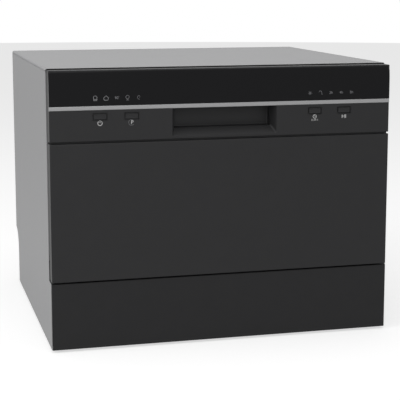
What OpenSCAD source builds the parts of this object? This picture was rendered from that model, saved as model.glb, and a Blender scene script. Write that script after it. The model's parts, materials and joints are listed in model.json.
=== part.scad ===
// Countertop dishwasher, front towards -Y, standing on Z = 0.
// The origin is the middle of the footprint. All sizes are millimetres.

/* [Overall] */
// Width over the side panels
cab_w = 550; // [480:1:680]
// Depth from the door face to the back
cab_d = 500; // [440:1:620]
// Height with the feet
cab_h = 438; // [410:1:520]

/* [Cabinet] */
// Thickness of the painted sheet
sheet_t = 1; // [0.8:0.1:1.5]
// Radius of the folded top edges
top_edge_r = 3; // [2:0.5:6]
// How far the door stands in front of the silver panels
door_proud = 25; // [15:1:30]
// Height of the plinth
plinth_h = 108.5; // [105:0.5:120]
// How far the plinth lies behind the door face
plinth_back = 2; // [1:0.5:4]
// Thickness of the plinth skin
plinth_t = 1.5; // [1:0.5:2.5]
// Gap under the side panels
panel_lift = 4; // [3:1:8]
// Radius of the cove along the lower rear edge
cove_r = 37; // [30:1:45]
// Height of the cove's upper edge
cove_top = 102; // [95:1:110]
// Thickness of the base tray's floor and walls
tray_t = 2.5; // [2:0.5:4]
// Height of the base tray's walls
tray_h = 34; // [30:1:45]
// Radius of a foot's pad
foot_r = 16; // [12:1:20]
// Radius of a foot's threaded stud
foot_stud_r = 4; // [3:0.5:5]

/* [Door] */
// Thickness of the whole door at its rim
door_t = 40; // [38:1:44]
// Thickness of the outer skin
skin_t = 1; // [0.8:0.1:1.5]
// Gap between the plinth and the door
door_gap = 2.5; // [2:0.5:4]
// Gap between the door and the outer width at each side
door_side_gap = 1.3; // [0.5:0.1:3]
// How far the top of the door lies below the top panel
door_drop = 2; // [1:0.5:4]
// Height of the control panel
control_h = 108; // [104:1:120]
// Gap between the control panel and the lower door panel
split_gap = 3; // [2:0.5:4]
// Height of the gloss strip with the display
fascia_h = 54; // [50:1:60]
// Thickness of the gloss strip
fascia_t = 2; // [1.5:0.5:3]
// Height of the silver line
trim_h = 6.5; // [4:0.5:9]
// Wall of the control panel moulding
mould_t = 2.2; // [1.8:0.1:3]
// Radius of the door's front edges
door_edge_r = 2; // [1:0.5:3]
// Distance of the hinge axis behind the door face
hinge_in = 7; // [7:0.5:8]
// Height of the hinge axis above the door's lower edge
hinge_up = 16; // [16:0.5:20]
// Radius of the hinge pins
hinge_pin_r = 3; // [2.5:0.5:3]
// Thickness of the stainless door liner
liner_t = 1; // [0.8:0.1:1.5]
// Depth of the dished field of the liner
dish_d = 6; // [5:0.5:6]

/* [Handle recess and buttons] */
// Width of the handle recess
pocket_w = 169; // [140:1:190]
// Height of its front opening below the silver line
pocket_h = 43.5; // [38:0.5:45]
// Depth of the recess
pocket_d = 30; // [26:1:30]
// Draft of the recess's side walls over its depth
pocket_draft = 5; // [2:0.5:8]
// Width of a button
button_w = 21; // [16:0.5:24]
// Height of a button
button_h = 9.5; // [8:0.5:12]
// Distance from the silver line to a button's centre line
button_drop = 10; // [8:0.5:14]
// Distance of the inner buttons from the middle
button_near = 147.5; // [125:0.5:155]
// Distance from an inner to an outer button
button_pitch = 49; // [40:0.5:55]
// Travel of a button
button_travel = 1.8; // [1.2:0.1:2]

/* [Tub] */
// Space between the tub and the outside at each side
tub_side = 47; // [45:1:60]
// Space between the tub's ceiling and the top
tub_top = 21; // [18:1:30]
// Space between the tub and the back
tub_back = 37; // [30:1:50]
// Height of the tub's floor above the ground
tub_floor_z = 146; // [144:1:147]
// Height of the lip in front of the floor
lip_h = 11; // [8:1:12]
// Thickness of the stainless sheet
tub_t = 1; // [0.8:0.1:1.5]
// Corner radius of the tub
tub_r = 18; // [12:1:20]
// Height of the space behind the door rim down to the door seal
gasket_t = 2.7; // [2:0.1:2.7]

/* [Rack] */
// Height of the rack's floor above the tub's floor
rack_rise = 46; // [44:1:50]
// Height from the rack's floor to its rim
rack_h = 98; // [70:1:110]
// Gap between the rack and the tub walls at each side
rack_side = 14; // [12:1:20]
// Gap between the rack's front and the door liner
rack_front = 20; // [18:1:24]
// Gap between the rack's back and the tub's back wall
rack_back = 18; // [14:1:30]
// Radius of the frame wires
frame_wire_r = 2.5; // [2:0.25:3]
// Radius of the thin wires
thin_wire_r = 1.6; // [1.25:0.1:2]
// Distance between the upright side wires, about
wire_pitch = 38; // [25:1:50]
// Height of the plate tines
tine_h = 62; // [40:1:80]
// Number of tines in a row
tine_count = 11; // [6:1:14]
// Radius of the rack wheels
wheel_r = 12; // [10:0.5:12]
// Width of a rack wheel
wheel_w = 9; // [7:0.5:9]
// Radius of a wheel's axle stub
axle_r = 3; // [2.5:0.25:3.5]
// Length of the cutlery basket
basket_l = 140; // [110:1:160]
// Width of the cutlery basket
basket_w = 74; // [60:1:80]
// Height of the cutlery basket
basket_h = 92; // [80:1:100]

/* [Water path] */
// Gap between the spray arm's tips and the tub's walls
arm_gap = 15; // [10:1:30]
// Width of the spray arm at its hub
arm_w = 46; // [36:1:60]
// Radius of the spray hub's shaft
hub_r = 9; // [8:0.5:11]
// Radius of the filter cylinder
filter_r = 26; // [20:1:30]
// Radius of the salt cap
salt_r = 27; // [22:1:32]
// Radius of the wash pump's motor
motor_r = 30; // [26:1:32]
// Radius over the inlet valve's thread
inlet_r = 13.2; // [12:0.1:14]
// Radius of the drain spigot
drain_r = 9.5; // [8:0.5:11]
// Radius of the cable gland's bore
gland_bore_r = 3.8; // [3:0.1:5]

/* [Hidden] */
$fn = 48;

// Colours as in the photo; hidden pieces have the colour of their material.
silver_paint = [0.60, 0.60, 0.61];
black_paint = [0.19, 0.19, 0.195];
black_gloss = [0.12, 0.12, 0.125];
trim_silver = [0.66, 0.66, 0.67];
plinth_black = [0.17, 0.17, 0.175];
base_black = [0.10, 0.10, 0.105];
stainless = [0.74, 0.74, 0.73];
zinc = [0.62, 0.63, 0.65];
rubber_grey = [0.22, 0.22, 0.23];
plastic_grey = [0.55, 0.57, 0.60];
plastic_white = [0.88, 0.88, 0.86];
plastic_blue = [0.30, 0.42, 0.62];
rack_grey = [0.62, 0.64, 0.67];
board_green = [0.10, 0.32, 0.18];

// Clearances
seat = 0.3;          // between pieces that sit in or on each other
run = 0.06;          // radial running fit
eps = 0.01;          // only to open a cut through a face

// Main planes
hw = cab_w / 2;
front = -cab_d / 2;
back = cab_d / 2;
side_in = hw - sheet_t;
door_back = front + door_proud;
shell_back = door_back - 1.8;
seam_z = cab_h - top_edge_r - sheet_t;
top_in = cab_h - sheet_t;
cove_y = back - cove_r;
cove_z = cove_top - cove_r;
plinth_y = front + plinth_back;
plinth_in = plinth_y + plinth_t;
tray_z = panel_lift + 2;
tray_top = tray_z + tray_t;
foot_x = hw - 64;
foot_front_y = front + 45;
foot_rear_y = cove_y - 28;

// Door
door_hw = hw - door_side_gap;
door_bot = plinth_h + door_gap;
door_top = cab_h - door_drop;
control_bot = door_top - control_h;
panel_top = control_bot - split_gap;
fascia_bot = door_top - fascia_h;
trim_bot = fascia_bot - trim_h;
pocket_bot = trim_bot - pocket_h;
liner_y = front + door_t;
liner_hw = hw - 9;
liner_bot = door_bot + 2;
liner_top = seam_z - 3;
dish_y = liner_y - dish_d;
hinge_y = front + hinge_in;
hinge_z = door_bot + hinge_up;
ear_r = hinge_in - skin_t - 0.5;
arm_x = side_in - 26;
bracket_x = arm_x + 4;
notch_in = arm_x - 12;
notch_out = bracket_x + 8;
lever_y = hinge_y + 28;
lever_z = hinge_z - 10;
button_z = trim_bot - button_drop;
button_xs = [-button_near - button_pitch, -button_near, button_near, button_near + button_pitch];
board_y = front + 12;

// Tub
tub_hw = hw - tub_side;
tub_ceil = cab_h - tub_top;
flange_y = liner_y + gasket_t + seat;
tub_rear = back - tub_back;
lip_z = tub_floor_z + lip_h;
tub_under = tub_floor_z - tub_t;
flange_bot = lip_z - 21;
striker_z = tub_ceil + 13.5;

// Dispenser in the door liner
disp_x0 = -82;
disp_x1 = 70;
disp_z0 = lip_z + 70;
disp_z1 = disp_z0 + 96;
disp_y = dish_y + 7;
cup_x0 = disp_x0 + 12;
cup_x1 = cup_x0 + 62;
cup_z0 = disp_z0 + 11;
cup_z1 = cup_z0 + 38;
cap_x = disp_x1 - 32;
cap_z = cup_z1 + 26;

// Rack
rail_z = tub_floor_z + 10;
rail_t = 1.2;
rail_out = tub_hw - 2.5;
rail_in = rail_out - 19;
wheel_z = rail_z + rail_t + seat + wheel_r;
wheel_x = rail_out - 4.5 - wheel_w / 2;
rail_lip_z = wheel_z + wheel_r + 3.3;
front_wheel_y = flange_y + 162;
rear_wheel_y = tub_rear - 50;
rack_floor = tub_floor_z + rack_rise;
rack_rim = rack_floor + rack_h;
rack_hw = tub_hw - rack_side - frame_wire_r;
rack_y0 = liner_y + rack_front + frame_wire_r;
rack_y1 = tub_rear - rack_back - frame_wire_r;
basket_x = rack_hw - frame_wire_r - 6 - basket_w / 2;
basket_y = rack_y0 + frame_wire_r + 8 + basket_l / 2;
basket_z = rack_floor + frame_wire_r + seat;
basket_wall = 2;
holder_x = rack_hw - frame_wire_r - seat - 3;
shelf_hinge_x = -rack_hw + 7;
shelf_hinge_z = rack_rim + 12;
shelf_reach = tub_ceil - shelf_hinge_z - 22;
shelf_l = (rack_y1 - rack_y0) * 0.68;
shelf_y = (rack_y0 + rack_y1) / 2 + 20;

// Water path
arm_y = (flange_y + tub_rear) / 2;
arm_r = (tub_rear - flange_y) / 2 - arm_gap;
arm_z = tub_floor_z + 22;
arm_t = 13;
filter_x = 78;
filter_y = arm_y - 66;
filter_top = tub_floor_z + 16;
sump_r = 58;
sump_bot = 98;
salt_x = -118;
salt_y = arm_y - 82;
pump_x = 0;
pump_y = arm_y + 74;
pump_z = 58;
volute_r = motor_r + 8;
drain_x = 150;
drain_y = arm_y - 30;
drain_z = pump_z;
port_z = 36;
inlet_x = -hw + 115;
spigot_x = drain_x - 16;
gland_x = hw - 70;
float_x = 190;
float_y = arm_y + 110;
vent_y = arm_y + 60;
vent_z = tub_floor_z + 120;
dish_r = filter_r + 34;
dish_z = tub_floor_z - 4;
cradle_xs = [pump_x - 50, pump_x - 95];
drain_body_r = 22;
pipe_r = 11;
feed_z = pump_z + volute_r + 22;
heater_y0 = pump_y - 78;
heater_y1 = pump_y - 20;

// ---------- helpers ----------

// Profile (Y, Z) extruded along X between x0 and x1
module along_x(x0, x1) {
    translate([x0, 0, 0]) rotate([90, 0, 90]) linear_extrude(x1 - x0) children();
}

// Profile (X, Z) extruded along Y between y0 and y1
module along_y(y0, y1) {
    translate([0, y1, 0]) rotate([90, 0, 0]) linear_extrude(y1 - y0) children();
}

// Profile (X, Y) extruded along Z between z0 and z1
module along_z(z0, z1) {
    translate([0, 0, z0]) linear_extrude(z1 - z0) children();
}

module box(low, high) {
    translate(low) cube(high - low);
}

// Rounded rectangle between two corners, with true arcs
module rounded(low, high, r) {
    translate([low[0] + r, low[1]]) square([high[0] - low[0] - 2 * r, high[1] - low[1]]);
    translate([low[0], low[1] + r]) square([high[0] - low[0], high[1] - low[1] - 2 * r]);
    for (x = [low[0] + r, high[0] - r], y = [low[1] + r, high[1] - r])
        translate([x, y]) circle(r);
}

// The bit that rounds a convex corner at [x, y] off; sx, sy point into the material
module corner_cut(p, r, sx, sy) {
    translate(p) difference() {
        translate([sx > 0 ? -1 : -r, sy > 0 ? -1 : -r]) square(r + 1);
        translate([sx * r, sy * r]) circle(r);
    }
}

module mirrored(side) {
    if (side < 0) mirror([1, 0, 0]) children();
    else children();
}

module both_sides() {
    children();
    mirror([1, 0, 0]) children();
}

// Round bar between two points on a line along one axis
module bar_x(x0, x1, y, z, r) {
    translate([x0, y, z]) rotate([0, 90, 0]) cylinder(r = r, h = x1 - x0, $fn = 24);
}

module bar_y(y0, y1, x, z, r) {
    translate([x, y1, z]) rotate([90, 0, 0]) cylinder(r = r, h = y1 - y0, $fn = 24);
}

module bar_z(z0, z1, x, y, r) {
    translate([x, y, z0]) cylinder(r = r, h = z1 - z0, $fn = 24);
}

// Bar from the low to the high point in any direction
module strut(p, q, r) {
    d = q - p;
    len = norm(d);
    translate(p) rotate([0, acos(d[2] / len), atan2(d[1], d[0])]) cylinder(r = r, h = len, $fn = 24);
}

// Quarter bend of a pipe round the corner p, from direction a to direction b
module elbow(p, a, b, r, bend) {
    c = p + bend * (b - a);
    z = cross(a, b);
    multmatrix([[-b[0], a[0], z[0], c[0]], [-b[1], a[1], z[1], c[1]], [-b[2], a[2], z[2], c[2]]])
        rotate_extrude(angle = 90) translate([bend, 0]) circle(r, $fn = 24);
}

// Pipe along points joined by right angles
module pipe(pts, r, bend) {
    n = len(pts) - 1;
    dirs = [for (i = [0:n - 1]) (pts[i + 1] - pts[i]) / norm(pts[i + 1] - pts[i])];
    for (i = [0:n - 1])
        strut(pts[i] + (i > 0 ? bend : 0) * dirs[i], pts[i + 1] - (i < n - 1 ? bend : 0) * dirs[i], r);
    for (i = [1:n - 1]) elbow(pts[i], dirs[i - 1], dirs[i], r, bend);
}

// Horizontal ring of wire with round corners
module wire_loop(x0, y0, x1, y1, z, r, bend) {
    bar_x(x0 + bend, x1 - bend, y0, z, r);
    bar_x(x0 + bend, x1 - bend, y1, z, r);
    bar_y(y0 + bend, y1 - bend, x0, z, r);
    bar_y(y0 + bend, y1 - bend, x1, z, r);
    corners = [[x1 - bend, y1 - bend, 0], [x0 + bend, y1 - bend, 90],
               [x0 + bend, y0 + bend, 180], [x1 - bend, y0 + bend, 270]];
    for (c = corners)
        translate([c[0], c[1], z]) rotate([0, 0, c[2]])
            rotate_extrude(angle = 90) translate([bend, 0]) circle(r, $fn = 24);
}

// ---------- cabinet ----------

// Side outline (Y, Z): main field, step forward beside the plinth, rear cove
module side_outline() {
    difference() {
        union() {
            translate([door_back, panel_lift]) square([back - door_back, seam_z - panel_lift - seat]);
            translate([plinth_in, panel_lift]) square([door_back - plinth_in, plinth_h + 1 - panel_lift]);
        }
        translate([cove_y, panel_lift - 1]) square([cove_r + 1, cove_z - panel_lift + 1]);
        translate([back, cove_z]) circle(cove_r);
        corner_cut([plinth_in, plinth_h + 1], 3, 1, -1);
        corner_cut([cove_y, panel_lift], 2, -1, 1);
    }
}

module side_panel(side) {
    hem = 6;
    color(silver_paint) mirrored(side) {
        along_x(side_in, hw) side_outline();
        // The front hem starts above the sweep of the door's lower corner
        box([side_in - hem, door_back, hinge_z + 20], [side_in + eps, door_back + sheet_t, seam_z - 3]);
        box([side_in - 14, back - 2.3 - sheet_t, cove_top + 3], [side_in + eps, back - 2.3, seam_z - 3]);
        box([side_in - 14, door_back + 10, panel_lift], [side_in + eps, cove_y - 4, panel_lift + sheet_t]);
    }
}

// Top: folded round both long edges, with tongues inside the side panels
module top_panel() {
    inner_r = top_edge_r - sheet_t;
    color(silver_paint) {
        along_y(door_back, back) intersection() {
            difference() {
                rounded([-hw, seam_z - 20], [hw, cab_h], top_edge_r);
                rounded([-side_in, seam_z - 20], [side_in, top_in], inner_r);
                translate([-side_in, seam_z - 21]) square([2 * side_in, 20]);
            }
            translate([-hw - 1, seam_z]) square([cab_w + 2, cab_h]);
        }
        both_sides() box([side_in - seat - sheet_t, door_back + 12, seam_z - 12],
                         [side_in - seat, back - 8, top_in + eps]);
        box([-side_in + 8, door_back, top_in - 4], [side_in - 8, door_back + sheet_t, top_in + eps]);
    }
}

// Back sheet: flat above, cove, flat rear wall of the connection space below
module back_panel() {
    low = tray_top + seat;
    color(silver_paint) difference() {
        along_x(-side_in + seat, side_in - seat) difference() {
            union() {
                translate([back - sheet_t, cove_z]) square([sheet_t, top_in - seat - cove_z]);
                translate([back, cove_z]) circle(cove_r + sheet_t);
                translate([cove_y - sheet_t, low]) square([cove_r + sheet_t, cove_z - low]);
            }
            translate([back, cove_z]) circle(cove_r);
            translate([cove_y, low - cab_h]) square([cab_h, cab_h + cove_z - low]);
            translate([back, 0]) square(cab_h);
        }
        for (p = [[inlet_x, 17.5], [spigot_x, 13.5], [gland_x, 9.5]])
            bar_y(cove_y - 5, cove_y + 5, p[0], port_z, p[1]);
        for (s = [-1, 1])
            along_y(back - 5, back + 5) corner_cut([s * (side_in - seat), top_in - seat], 3, -s, -1);
        // Stamped vent slots near the upper corners
        for (s = [-1, 1], i = [0:6])
            along_y(back - 5, back + 5)
                rounded([s * (hw - 110) - 30, cab_h - 90 - 12 * i],
                        [s * (hw - 110) + 30, cab_h - 86 - 12 * i], 1.9);
    }
}

// Tray with walls, foot bosses, ribs and cradles for the pumps
module base_tray() {
    y0 = plinth_in + seat;
    y1 = cove_y - sheet_t - seat;
    x1 = side_in - 2;
    color(base_black) difference() {
        union() {
            difference() {
                along_z(tray_z, tray_z + tray_h) rounded([-x1, y0], [x1, y1], 6);
                along_z(tray_top, tray_z + tray_h + 1)
                    rounded([-x1 + tray_t, y0 + tray_t], [x1 - tray_t, y1 - tray_t], 4);
            }
            for (x = [-foot_x, foot_x], y = [foot_front_y, foot_rear_y])
                bar_z(tray_z, tray_z + 26, x, y, 11);
            for (x = [-150, -50, 50])
                box([x - 1, y0 + 1, tray_top - eps], [x + 1, pump_y - volute_r - 8, tray_top + 9]);
            box([-foot_x + 12, foot_front_y - 1, tray_top - eps],
                [foot_x - 12, foot_front_y + 1, tray_top + 9]);
            // Cradles
            for (x = cradle_xs)
                box([x - 3, pump_y - motor_r - 6, tray_top - eps],
                    [x + 3, pump_y + motor_r + 6, pump_z - 15]);
            for (x = [drain_x - 22, drain_x + 6])
                box([x - 3, drain_y - 20, tray_top - eps], [x + 3, drain_y + 20, drain_z - 12]);
            bar_z(tray_top - eps, tray_top + 24, float_x, float_y, 3);
        }
        for (x = [-foot_x, foot_x], y = [foot_front_y, foot_rear_y])
            bar_z(tray_z - 1, tray_z + 22, x, y, foot_stud_r + run);
        bar_x(drain_x - 30, drain_x + 12, drain_y, drain_z, drain_body_r + seat / 2);
        for (x = cradle_xs) bar_x(x - 4, x + 4, pump_y, pump_z, motor_r + seat / 2);
        for (p = [[inlet_x, 24], [spigot_x, 18], [gland_x, 12.5]])
            bar_y(y1 - tray_t - 1, y1 + 1, p[0], port_z, p[1] + seat);
    }
}

// Plinth: skin over the side panels' front edges, folded in at the top and ends
module kick_plate() {
    fold = 18;
    color(plinth_black) {
        difference() {
            intersection() {
                along_x(-hw + 1, hw - 1) difference() {
                    translate([plinth_y, panel_lift]) square([plinth_t + fold, plinth_h - panel_lift]);
                    corner_cut([plinth_y, plinth_h], 1.5, 1, -1);
                    corner_cut([plinth_y, panel_lift], 1, 1, 1);
                }
                along_z(panel_lift, plinth_h) difference() {
                    translate([-hw + 1, plinth_y]) square([cab_w - 2, plinth_t + fold]);
                    corner_cut([-hw + 1, plinth_y], 1.3, 1, 1);
                    corner_cut([hw - 1, plinth_y], 1.3, -1, 1);
                }
            }
            box([-hw, plinth_in, panel_lift - 1], [hw, plinth_in + fold + 1, plinth_h + 1]);
        }
        box([-side_in + seat, plinth_in - eps, plinth_h - plinth_t],
            [side_in - seat, plinth_in + fold, plinth_h]);
        both_sides() box([side_in - seat - plinth_t, plinth_in - eps, tray_z + tray_h + 1],
                         [side_in - seat, plinth_in + fold, plinth_h]);
    }
}

// Screw foot: pad and stud
module foot(x, y) {
    color(base_black) translate([x, y, 0]) rotate_extrude() polygon([
        [0, 0], [foot_r - 1, 0], [foot_r, 1], [foot_r, 3.2], [foot_r - 3, tray_z - seat],
        [foot_stud_r, tray_z - seat], [foot_stud_r, tray_z + 20], [foot_stud_r - 1, tray_z + 21],
        [0, tray_z + 21]
    ]);
}

// ---------- tub ----------

module mouth_outline(grow) {
    rounded([-tub_hw - grow, lip_z - grow], [tub_hw + grow, tub_ceil + grow], tub_r + grow);
}

// Pressed tub: rounded box, lip, front flange, floor with wells
module tub() {
    color(stainless) difference() {
        union() {
            along_y(flange_y + eps, tub_rear + tub_t)
                rounded([-tub_hw - tub_t, tub_under], [tub_hw + tub_t, tub_ceil + tub_t], tub_r + tub_t);
            along_y(flange_y, flange_y + tub_t)
                rounded([-side_in + 1.8, flange_bot], [side_in - 1.8, top_in - seat], 4);
            translate([filter_x, filter_y, dish_z - tub_t])
                cylinder(r1 = dish_r + tub_t, r2 = dish_r + 16 + tub_t, h = tub_floor_z - dish_z);
        }
        along_y(flange_y + tub_t, tub_rear)
            rounded([-tub_hw, tub_floor_z], [tub_hw, tub_ceil], tub_r);
        along_y(flange_y - 1, flange_y + tub_t + 1) mouth_outline(0);
        translate([filter_x, filter_y, dish_z])
            cylinder(r1 = dish_r, r2 = dish_r + 16, h = tub_floor_z - dish_z);
        bar_z(dish_z - 2, tub_floor_z + 1, filter_x, filter_y, filter_r + 18);
        bar_z(tub_under - 1, tub_floor_z + 1, 0, arm_y, 17);
        bar_z(tub_under - 1, tub_floor_z + 1, salt_x, salt_y, salt_r + 6);
        bar_x(-tub_hw - tub_t - 1, -tub_hw + 1, vent_y, vent_z, 20);
    }
}

// Seal round the mouth: foot on the flange, bulb towards the door
module door_gasket() {
    color(rubber_grey) {
        along_y(flange_y - gasket_t, flange_y) difference() {
            mouth_outline(9);
            mouth_outline(3);
        }
        along_y(flange_y - 1.2, flange_y) difference() {
            mouth_outline(12);
            mouth_outline(2);
        }
    }
}

// C-shaped channels on three bosses each
module rack_rails() {
    color(zinc) both_sides() {
        along_y(flange_y + 4, tub_rear - 12) {
            translate([rail_in, rail_z]) square([rail_out - rail_in, rail_t]);
            translate([rail_out - rail_t, rail_z]) square([rail_t, rail_lip_z + rail_t - rail_z]);
            translate([rail_out - 11, rail_lip_z]) square([11, rail_t]);
        }
        for (y = [flange_y + 60, arm_y, tub_rear - 60])
            bar_x(rail_out - eps, tub_hw - seat / 2, y, wheel_z + 5, 5);
    }
}

// ---------- water path ----------

// Cup under the tub floor with the pipes to the heater and the drain pump
module sump() {
    top = dish_z - tub_t;
    color(plastic_grey) difference() {
        union() {
            translate([filter_x, filter_y, 0]) rotate_extrude() polygon([
                [0, sump_bot], [sump_r - 14, sump_bot], [sump_r - 6, sump_bot + 10],
                [sump_r - 4, top - 6], [sump_r, top - 4], [sump_r, top], [0, top]
            ]);
            pipe([[filter_x, filter_y, sump_bot + 1], [filter_x, filter_y, pump_z],
                  [filter_x, heater_y0 - seat, pump_z]], pipe_r, 16);
            bar_x(filter_x, drain_x - 30 - seat, drain_y, drain_z, 8);
        }
        translate([filter_x, filter_y, 0]) rotate_extrude() polygon([
            [0, sump_bot + 3], [sump_r - 16, sump_bot + 3], [sump_r - 9, sump_bot + 12],
            [filter_r + 18, top - 8], [filter_r + 18, top + 1], [0, top + 1]
        ]);
    }
}

// Perforated plate on the tub floor
module filter_plate() {
    plate_r = dish_r - 2;
    color(stainless) difference() {
        union() {
            bar_z(dish_z, dish_z + 1.2, filter_x, filter_y, plate_r);
            bar_z(dish_z, dish_z + 2.4, filter_x, filter_y, filter_r + 4);
        }
        bar_z(dish_z - 1, dish_z + 4, filter_x, filter_y, filter_r + seat);
        for (ring = [0:3], i = [0:19 + 5 * ring])
            rotate_about(filter_x, filter_y, i * 360 / (20 + 5 * ring))
                bar_z(dish_z - 1, dish_z + 4, filter_x + filter_r + 8 + 6 * ring, filter_y, 1.5);
    }
}

module rotate_about(x, y, angle) {
    translate([x, y, 0]) rotate([0, 0, angle]) translate([-x, -y, 0]) children();
}

// Fine filter cup with a cross handle, turned to lock
module filter_cylinder() {
    low = sump_bot + 3 + seat;
    color(plastic_grey) translate([filter_x, filter_y, 0]) difference() {
        union() {
            cylinder(r = filter_r, h = tub_floor_z + 6);
            for (a = [0, 90]) rotate([0, 0, a])
                translate([-filter_r, -2, tub_floor_z + 6 - eps]) cube([2 * filter_r, 4, 10]);
        }
        translate([0, 0, -1]) cylinder(r = filter_r + 1, h = low + 1);
        translate([0, 0, low + 2]) cylinder(r = filter_r - 2, h = tub_floor_z);
        // Windows for the mesh
        for (i = [0:11]) rotate([0, 0, 30 * i + 15])
            translate([filter_r - 5, -3.5, low + 8]) cube([10, 7, tub_floor_z - low - 16]);
    }
}

// Softener box with a threaded neck through the floor
module salt_container() {
    color(plastic_white) difference() {
        union() {
            along_z(tub_under - 56, tub_under - 6)
                rounded([salt_x - 52, salt_y - 42], [salt_x + 52, salt_y + 42], 8);
            bar_z(tub_under - 7, tub_under, salt_x, salt_y, salt_r + 12);
            bar_z(tub_under - 7, tub_floor_z + 4, salt_x, salt_y, salt_r + 5);
            for (x = [salt_x - 40, salt_x + 40])
                box([x - 4, salt_y - 4, tray_top], [x + 4, salt_y + 4, tub_under - 50]);
        }
        along_z(tub_under - 53, tub_under - 9)
            rounded([salt_x - 49, salt_y - 39], [salt_x + 49, salt_y + 39], 6);
        bar_z(tub_under - 12, tub_floor_z + 5, salt_x, salt_y, salt_r - 4);
    }
}

// Screw cap with finger ribs
module salt_cap() {
    base = tub_floor_z + 4 + seat;
    color(plastic_blue) translate([salt_x, salt_y, 0]) difference() {
        union() {
            translate([0, 0, base]) cylinder(r = salt_r + 4, h = 7);
            translate([0, 0, base + 7 - eps]) cylinder(r = salt_r - 3, h = 2);
            for (i = [0:2]) rotate([0, 0, 60 * i])
                translate([-salt_r + 5, -2.2, base + 8]) cube([2 * salt_r - 10, 4.4, 5]);
            translate([0, 0, tub_floor_z - 8]) cylinder(r = salt_r - 4 - run, h = 14);
        }
        translate([0, 0, tub_floor_z - 9]) cylinder(r = salt_r - 8, h = 14);
    }
}

// Riser through the floor with the fixed shaft on which the arm turns
module spray_feed() {
    low = pump_z + volute_r + 8;
    color(plastic_grey) translate([0, arm_y, 0]) difference() {
        union() {
            translate([0, 0, low]) cylinder(r = 16, h = tub_floor_z + 4 - low);
            translate([0, 0, tub_floor_z]) cylinder(r = 24, h = 4);
            translate([0, 0, tub_under - 6]) cylinder(r = 24, h = 6);
            translate([0, 0, tub_floor_z]) cylinder(r = hub_r + 4, h = arm_z - tub_floor_z - seat);
            translate([0, 0, tub_floor_z]) cylinder(r = hub_r, h = arm_z + arm_t + 2 - tub_floor_z);
            translate([0, 0, arm_z + arm_t + seat]) cylinder(r = hub_r + 4, h = 3);
            bar_y(0, 22, 0, feed_z, pipe_r);
        }
        translate([0, 0, low + 4]) cylinder(r = hub_r - 2, h = arm_z - low);
    }
}

// One blade of the arm seen from above: straight leading edge, curved trailing edge
module arm_blade() {
    steps = 10;
    tip_w = 22;
    function half(t) = arm_w / 2 * (1 - t) + tip_w / 2 * t;
    function sweep(t) = 14 * sin(180 * t) * t;
    pts = concat(
        [for (i = [0:steps]) let (t = i / steps) [t * (arm_r - tip_w / 2), sweep(t) + half(t)]],
        [for (i = [0:6]) let (a = 90 - 30 * i)
            [arm_r - tip_w / 2 + tip_w / 2 * cos(a), tip_w / 2 * sin(a)]],
        [for (i = [steps:-1:0]) let (t = i / steps) [t * (arm_r - tip_w / 2), sweep(t) - half(t)]]
    );
    polygon(pts);
}

module spray_arm() {
    color(plastic_grey) translate([0, arm_y, 0]) difference() {
        union() {
            for (a = [35, 215]) rotate([0, 0, a]) {
                along_z(arm_z, arm_z + arm_t - 4) arm_blade();
                along_z(arm_z + arm_t - 4 - eps, arm_z + arm_t - 1) offset(delta = -3) arm_blade();
            }
            translate([0, 0, arm_z]) cylinder(r = 30, h = arm_t);
        }
        translate([0, 0, arm_z - 1]) cylinder(r = hub_r + run, h = arm_t + 2);
        for (a = [35, 215], i = [0:5]) rotate([0, 0, a])
            translate([50 + i * (arm_r - 70) / 5, 4 * pow(-1, i), arm_z + arm_t - 6])
                cylinder(r = 1.8, h = 8);
        for (a = [35, 215]) rotate([0, 0, a])
            translate([arm_r - 14, -30, arm_z + 5]) rotate([90, 0, 0])
                cylinder(r = 1.6, h = 8, center = true);
    }
}

// Volute, motor, suction elbow and outlet pipe in one housing, with the rotor's space inside
module wash_pump() {
    color(plastic_grey) difference() {
        union() {
            bar_x(pump_x - 18, pump_x + 18, pump_y, pump_z, volute_r);
            bar_x(pump_x - 112, pump_x - 18 + eps, pump_y, pump_z, motor_r);
            bar_x(pump_x - 118, pump_x - 112 + eps, pump_y, pump_z, 9);
            pipe([[pump_x + 17, pump_y, pump_z], [filter_x, pump_y, pump_z],
                  [filter_x, heater_y1 + seat, pump_z]], pipe_r, 16);
            pipe([[pump_x, pump_y, pump_z + volute_r - 3], [pump_x, pump_y, feed_z],
                  [pump_x, arm_y + 22 + seat, feed_z]], pipe_r, 16);
        }
        bar_x(pump_x - 12, pump_x + 13, pump_y, pump_z, volute_r - 5);
        bar_x(pump_x - 80, pump_x - 11, pump_y, pump_z, 4 + run);
        bar_x(pump_x + 12, pump_x + 30, pump_y, pump_z, 8);
    }
}

// Disc with seven blades on the motor shaft
module wash_impeller() {
    color(zinc) {
        bar_x(pump_x - 70, pump_x + 8, pump_y, pump_z, 4);
        bar_x(pump_x - 8, pump_x - 4, pump_y, pump_z, volute_r - 10);
        for (i = [0:6]) translate([0, pump_y, pump_z]) rotate([i * 360 / 7, 0, 0])
            box([pump_x - 4 - eps, -1.2, 3], [pump_x + 8, 1.2, volute_r - 11]);
    }
}

// Flow heater in the pipe between sump and pump, on two feet
module water_heater() {
    color(zinc) {
        bar_y(heater_y0, heater_y1, filter_x, pump_z, 12);
        bar_y(heater_y0 + 5, heater_y1 - 5, filter_x, pump_z, 20);
        for (y = [heater_y0 + 10, heater_y1 - 10]) {
            box([filter_x - 10, y - 1.5, tray_top], [filter_x + 10, y + 1.5, pump_z - 15]);
            box([filter_x - 3, y - 0.5, pump_z + 18], [filter_x + 3, y + 0.5, pump_z + 30]);
        }
    }
}

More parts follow.
